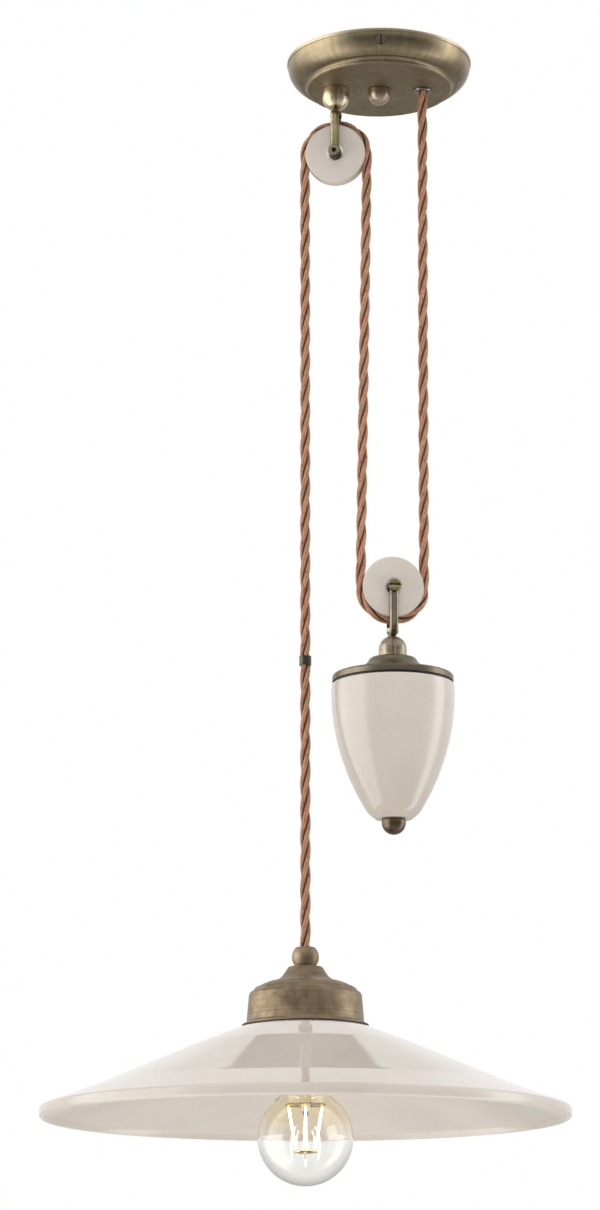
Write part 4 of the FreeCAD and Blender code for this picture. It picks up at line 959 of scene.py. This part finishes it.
def cord():
    """The one twisted cord, in the stretches that move differently, its twist running on through all."""
    upper_axis = (math.sin(YAW), math.cos(YAW), 0)
    lower_axis = (-math.sin(YAW), math.cos(YAW), 0)
    straight = (0.0, 1.0, 0.0)
    eyelet = Vector((REACH, 0, -25.2 * MM))
    grip = Vector((SHADE_AXIS.x, SHADE_AXIS.y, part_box("cord_run_shade")[0].z))
    lower_right, lower_left = (tangent_point(LOWER_AXLE, YAW, hand) for hand in (1, -1))
    upper_right, upper_left = (tangent_point(UPPER_AXLE, -YAW, hand) for hand in (1, -1))
    stretches = [
        ("cord_run_fixed", [eyelet, lower_right], straight, lower_axis, ("root", "counterweight")),
        ("cord_wrap_lower", half_turn(LOWER_AXLE, YAW, -1), lower_axis, lower_axis, None),
        ("cord_run_middle", [lower_left, upper_right], lower_axis, upper_axis, ("counterweight", "root")),
        ("cord_wrap_upper", half_turn(UPPER_AXLE, -YAW, 1), upper_axis, upper_axis, None),
        ("cord_run_shade", [upper_left, grip], upper_axis, straight, ("root", "shade")),
    ]
    begin = 0.0
    for node, points, axle_start, axle_end, bodies in stretches:
        piece, line, after = twisted(node + "_twisted", route(points), axle_start, axle_end, begin)
        if bodies:
            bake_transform(piece)
            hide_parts(node)
        else:
            put(piece, node)
        ["cord_clip_fine"] if node == "cord_run_shade" else []
        begin = after
    tail()


def tail():
    """The cord's end inside the canopy: up out of the gland, over and level to the terminals."""
    level, corner = -5.0 * MM, 8 * MM
    points = [
        (REACH, 0, -24.8 * MM),
        (REACH, 0, -18.9 * MM),
        (REACH, 0, level - corner),
        (REACH, 0, level, HALF_CORNER),
        (REACH, corner, level),
        (REACH, 20 * MM, level),
        (REACH, 31.8 * MM, level),
    ]
    piece, line, after = twisted("cord_tail_twisted", route(points), (1.0, 0, 0), (1.0, 0, 0), 0.0)
    put(piece, "cord_tail")


# ------------------------------------------------------------------ small parts that keep the frame's shape


def small_parts():
    """Screws, nuts, washers, brackets and inner parts, each with the finish that it has."""
    towards_viewer = {yaw: (-math.sin(yaw), -math.cos(yaw), 0.0) for yaw in (YAW, -YAW)}
    upper_head = screw_metal("upper_axle_steel", "upper_axle_screw", towards_viewer[YAW], (150, 140, 118))
    lower_head = screw_metal("lower_axle_brass", "lower_axle_screw", towards_viewer[-YAW], (168, 154, 116))
    side_heads = screw_metal(
        "side_screw_steel", "canopy_side_screws", (0.0, 1.0, 0.0), (104, 97, 85), both_ends=True
    )
    finishes = {
        upper_head: ["upper_axle_screw"],
        lower_head: ["lower_axle_screw"],
        side_heads: ["canopy_side_screws"],
        upper_stirrup_brass: ["upper_stirrup"],
        lower_stirrup_brass: ["lower_stirrup"],
        bright_washer: ["upper_axle_washers", "lower_axle_washers"],
        bare_brass: [
            "upper_pulley_bush", "lower_pulley_bush", "gland_screw", "terminal_screws", "contact_tongue",
        ],
        steel: [
            "upper_axle_nut", "lower_axle_nut", "upper_pivot_screw", "upper_pivot_nut", "upper_pivot_washer",
            "tie_rod", "centre_knob_nut", "mounting_bracket", "nipple", "nipple_nut", "gland_nut",
        ],
        dark_steel: ["counterweight_core", "cord_clip"],
        wire: ["filament_frame"],
        rubber: ["finial_felt"],
        thermoset: ["lampholder_cap", "lampholder_body", "lampholder_ring"],
        porcelain(): ["lampholder_core"],
        white_plastic(): ["terminal_block"],
        rolled_aluminium(): ["bulb_cap"],
        glass: ["bulb_stem"],
        glowing_rods(): ["bulb_filaments"],
    }
    for material, nodes in finishes.items():
        for node in nodes:
            refined(node, material)


# ------------------------------------------------------------------ light and camera


def softbox(name, place, target, size, watts):
    """A nearly white area light that looks at a target. Mirrors see the studio's windows in its place."""
    lamp = bpy.data.lights.new(name, "AREA")
    lamp.shape = "RECTANGLE"
    lamp.size, lamp.size_y = size
    lamp.energy = watts
    lamp.color = (1.0, 0.99, 0.97)
    holder = bpy.data.objects.new(name, lamp)
    holder.location = place
    look = Vector(target) - Vector(place)
    holder.rotation_euler = look.to_track_quat("-Z", "Y").to_euler()
    holder.visible_glossy = False
    holder.visible_camera = False
    bpy.context.scene.collection.objects.link(holder)


class Surroundings(Finish):
    """The world's nodes, written with the same signals as a finish."""

    def __init__(self, name):
        self.world = bpy.data.worlds.new(name)
        self.world.use_nodes = True
        self.tree = self.world.node_tree
        self.tree.nodes.clear()

    def between(self, signal, low, high, soft):
        """1 from low to high and 0 outside, with soft edges."""
        return self.step(signal, low - soft, low + soft) * (1.0 - self.step(signal, high - soft, high + soft))

    def lit(self, strength):
        """A white background of a given strength."""
        return self.node("ShaderNodeBackground", {}, {0: (1, 1, 1, 1), 1: strength})

    def either(self, share, first, second):
        """Mixes two backgrounds."""
        return self.node("ShaderNodeMixShader", {}, {0: share, 1: first, 2: second})


def studio():
    """A white room for the camera and the glass, windows for what mirrors, and a soft even light."""
    room = Surroundings("studio")
    bpy.context.scene.world = room.world
    x, y, z = room.apart(room.place("Generated"))
    bearing = room.maths_of("ARCTAN2", x, 0.0 - y)  # 0 towards the viewer, growing to the right
    ahead = 1.0 - room.step(y, -0.1, 0.0)
    behind = room.step(y, 0.0, 0.1)

    # the room: pale overhead, dim below, a little paler underfoot, dark round the viewer, a faint glow behind
    walls = room.step(z, -0.5, 0.35, 0.38, 0.95) + room.step(z, -0.95, -0.60, 0.34, 0.0)
    front = room.between(bearing, -0.70, 1.22, 0.18) * room.between(z, -0.30, 0.30, 0.12)
    glow = room.between(z, 0.04, 0.47, 0.03) * behind

    # tall windows at the left and right, and a crisp pane of a window towards the viewer
    left = room.between(bearing, -2.05, -0.95, 0.16) * room.between(z, -0.86, 0.52, 0.12)
    right = room.between(bearing, 1.46, 1.88, 0.14) * room.between(z, -0.80, 0.52, 0.12)
    pane = room.between(x, -0.2415, -0.12, 0.0006) * room.between(z, 0.3535, 0.55, 0.0006) * ahead

    # the dark card with a slit of light in it, which the shade mirrors as a box
    above_foot = room.step(z + x * x * 6.0, 0.600, 0.612) * (1.0 - room.step(z, 0.75, 0.77))
    slit = room.between(x, -0.005, 0.006, 0.003)
    card = (1.0 - room.step(x.absolute(), 0.090, 0.100)) * above_foot * behind * (1.0 - slit)

    mirrored = walls + left * 2.1 + right * 2.5 + pane * 0.6 + glow * 0.1 - front * 0.5 - card * 0.86
    ray = room.node("ShaderNodeLightPath", {}, {}).socket.node.outputs
    kinds = ("Is Camera Ray", "Is Glossy Ray", "Is Transmission Ray")
    to_camera, glossy, through_glass = (Signal(room, ray[kind]) for kind in kinds)
    seen = room.either(to_camera + through_glass, room.lit(0.54), room.lit(1.0))
    out = room.either(glossy, seen, room.lit(mirrored))
    world_out = room.tree.nodes.new("ShaderNodeOutputWorld")
    room.tree.links.new(out.socket, world_out.inputs[0])

    pendant, lower_half = (-0.05, 0, -0.6), (0, 0, -0.9)
    softbox("key", (-3.0, -0.9, -1.2), pendant, (1.6, 2.2), 27)
    softbox("fill", (2.9, -1.0, -1.5), pendant, (1.4, 2.6), 18)
    softbox("top", (0.2, -0.9, 1.9), lower_half, (2.4, 1.6), 30)
    softbox("bounce", (0.0, -0.4, -2.05), lower_half, (3.2, 2.0), 12)


def camera():
    """The photograph's camera: without roll, a little below the shade, looking slightly up."""
    focal_length, picture_height, sensor = 3451.6, 1210, 36.0
    data = bpy.data.cameras.new("camera")
    data.sensor_width = sensor
    data.lens = focal_length / picture_height * sensor
    data.clip_start, data.clip_end = 0.1, 100.0
    holder = bpy.data.objects.new("camera", data)
    holder.location = (-70.24 * MM, -2874.25 * MM, -1185.69 * MM)
    holder.rotation_euler = (math.radians(90 + 13.505), 0, 0)
    bpy.context.scene.collection.objects.link(holder)
    bpy.context.scene.camera = holder


camera()
small_parts()
cord()
canopy()
centre_knob()
cord_eyelet()
dome("upper_dome", (-REACH, 0, DISC), True, dome_brass)
dome("lower_dome", foot_of("lower_dome", WEIGHT_AXIS), False, lower_dome_brass)
pulley("upper_pulley", UPPER_AXLE, -YAW)
pulley("lower_pulley", LOWER_AXLE, YAW)
counterweight_cap()
counterweight_urn()
cap_seal()
finial()
cord_grip_ball()
fitter_cap()
shade_gasket()
shade()
bulb_glass()
studio()
bpy.context.scene.view_settings.view_transform = "Standard"
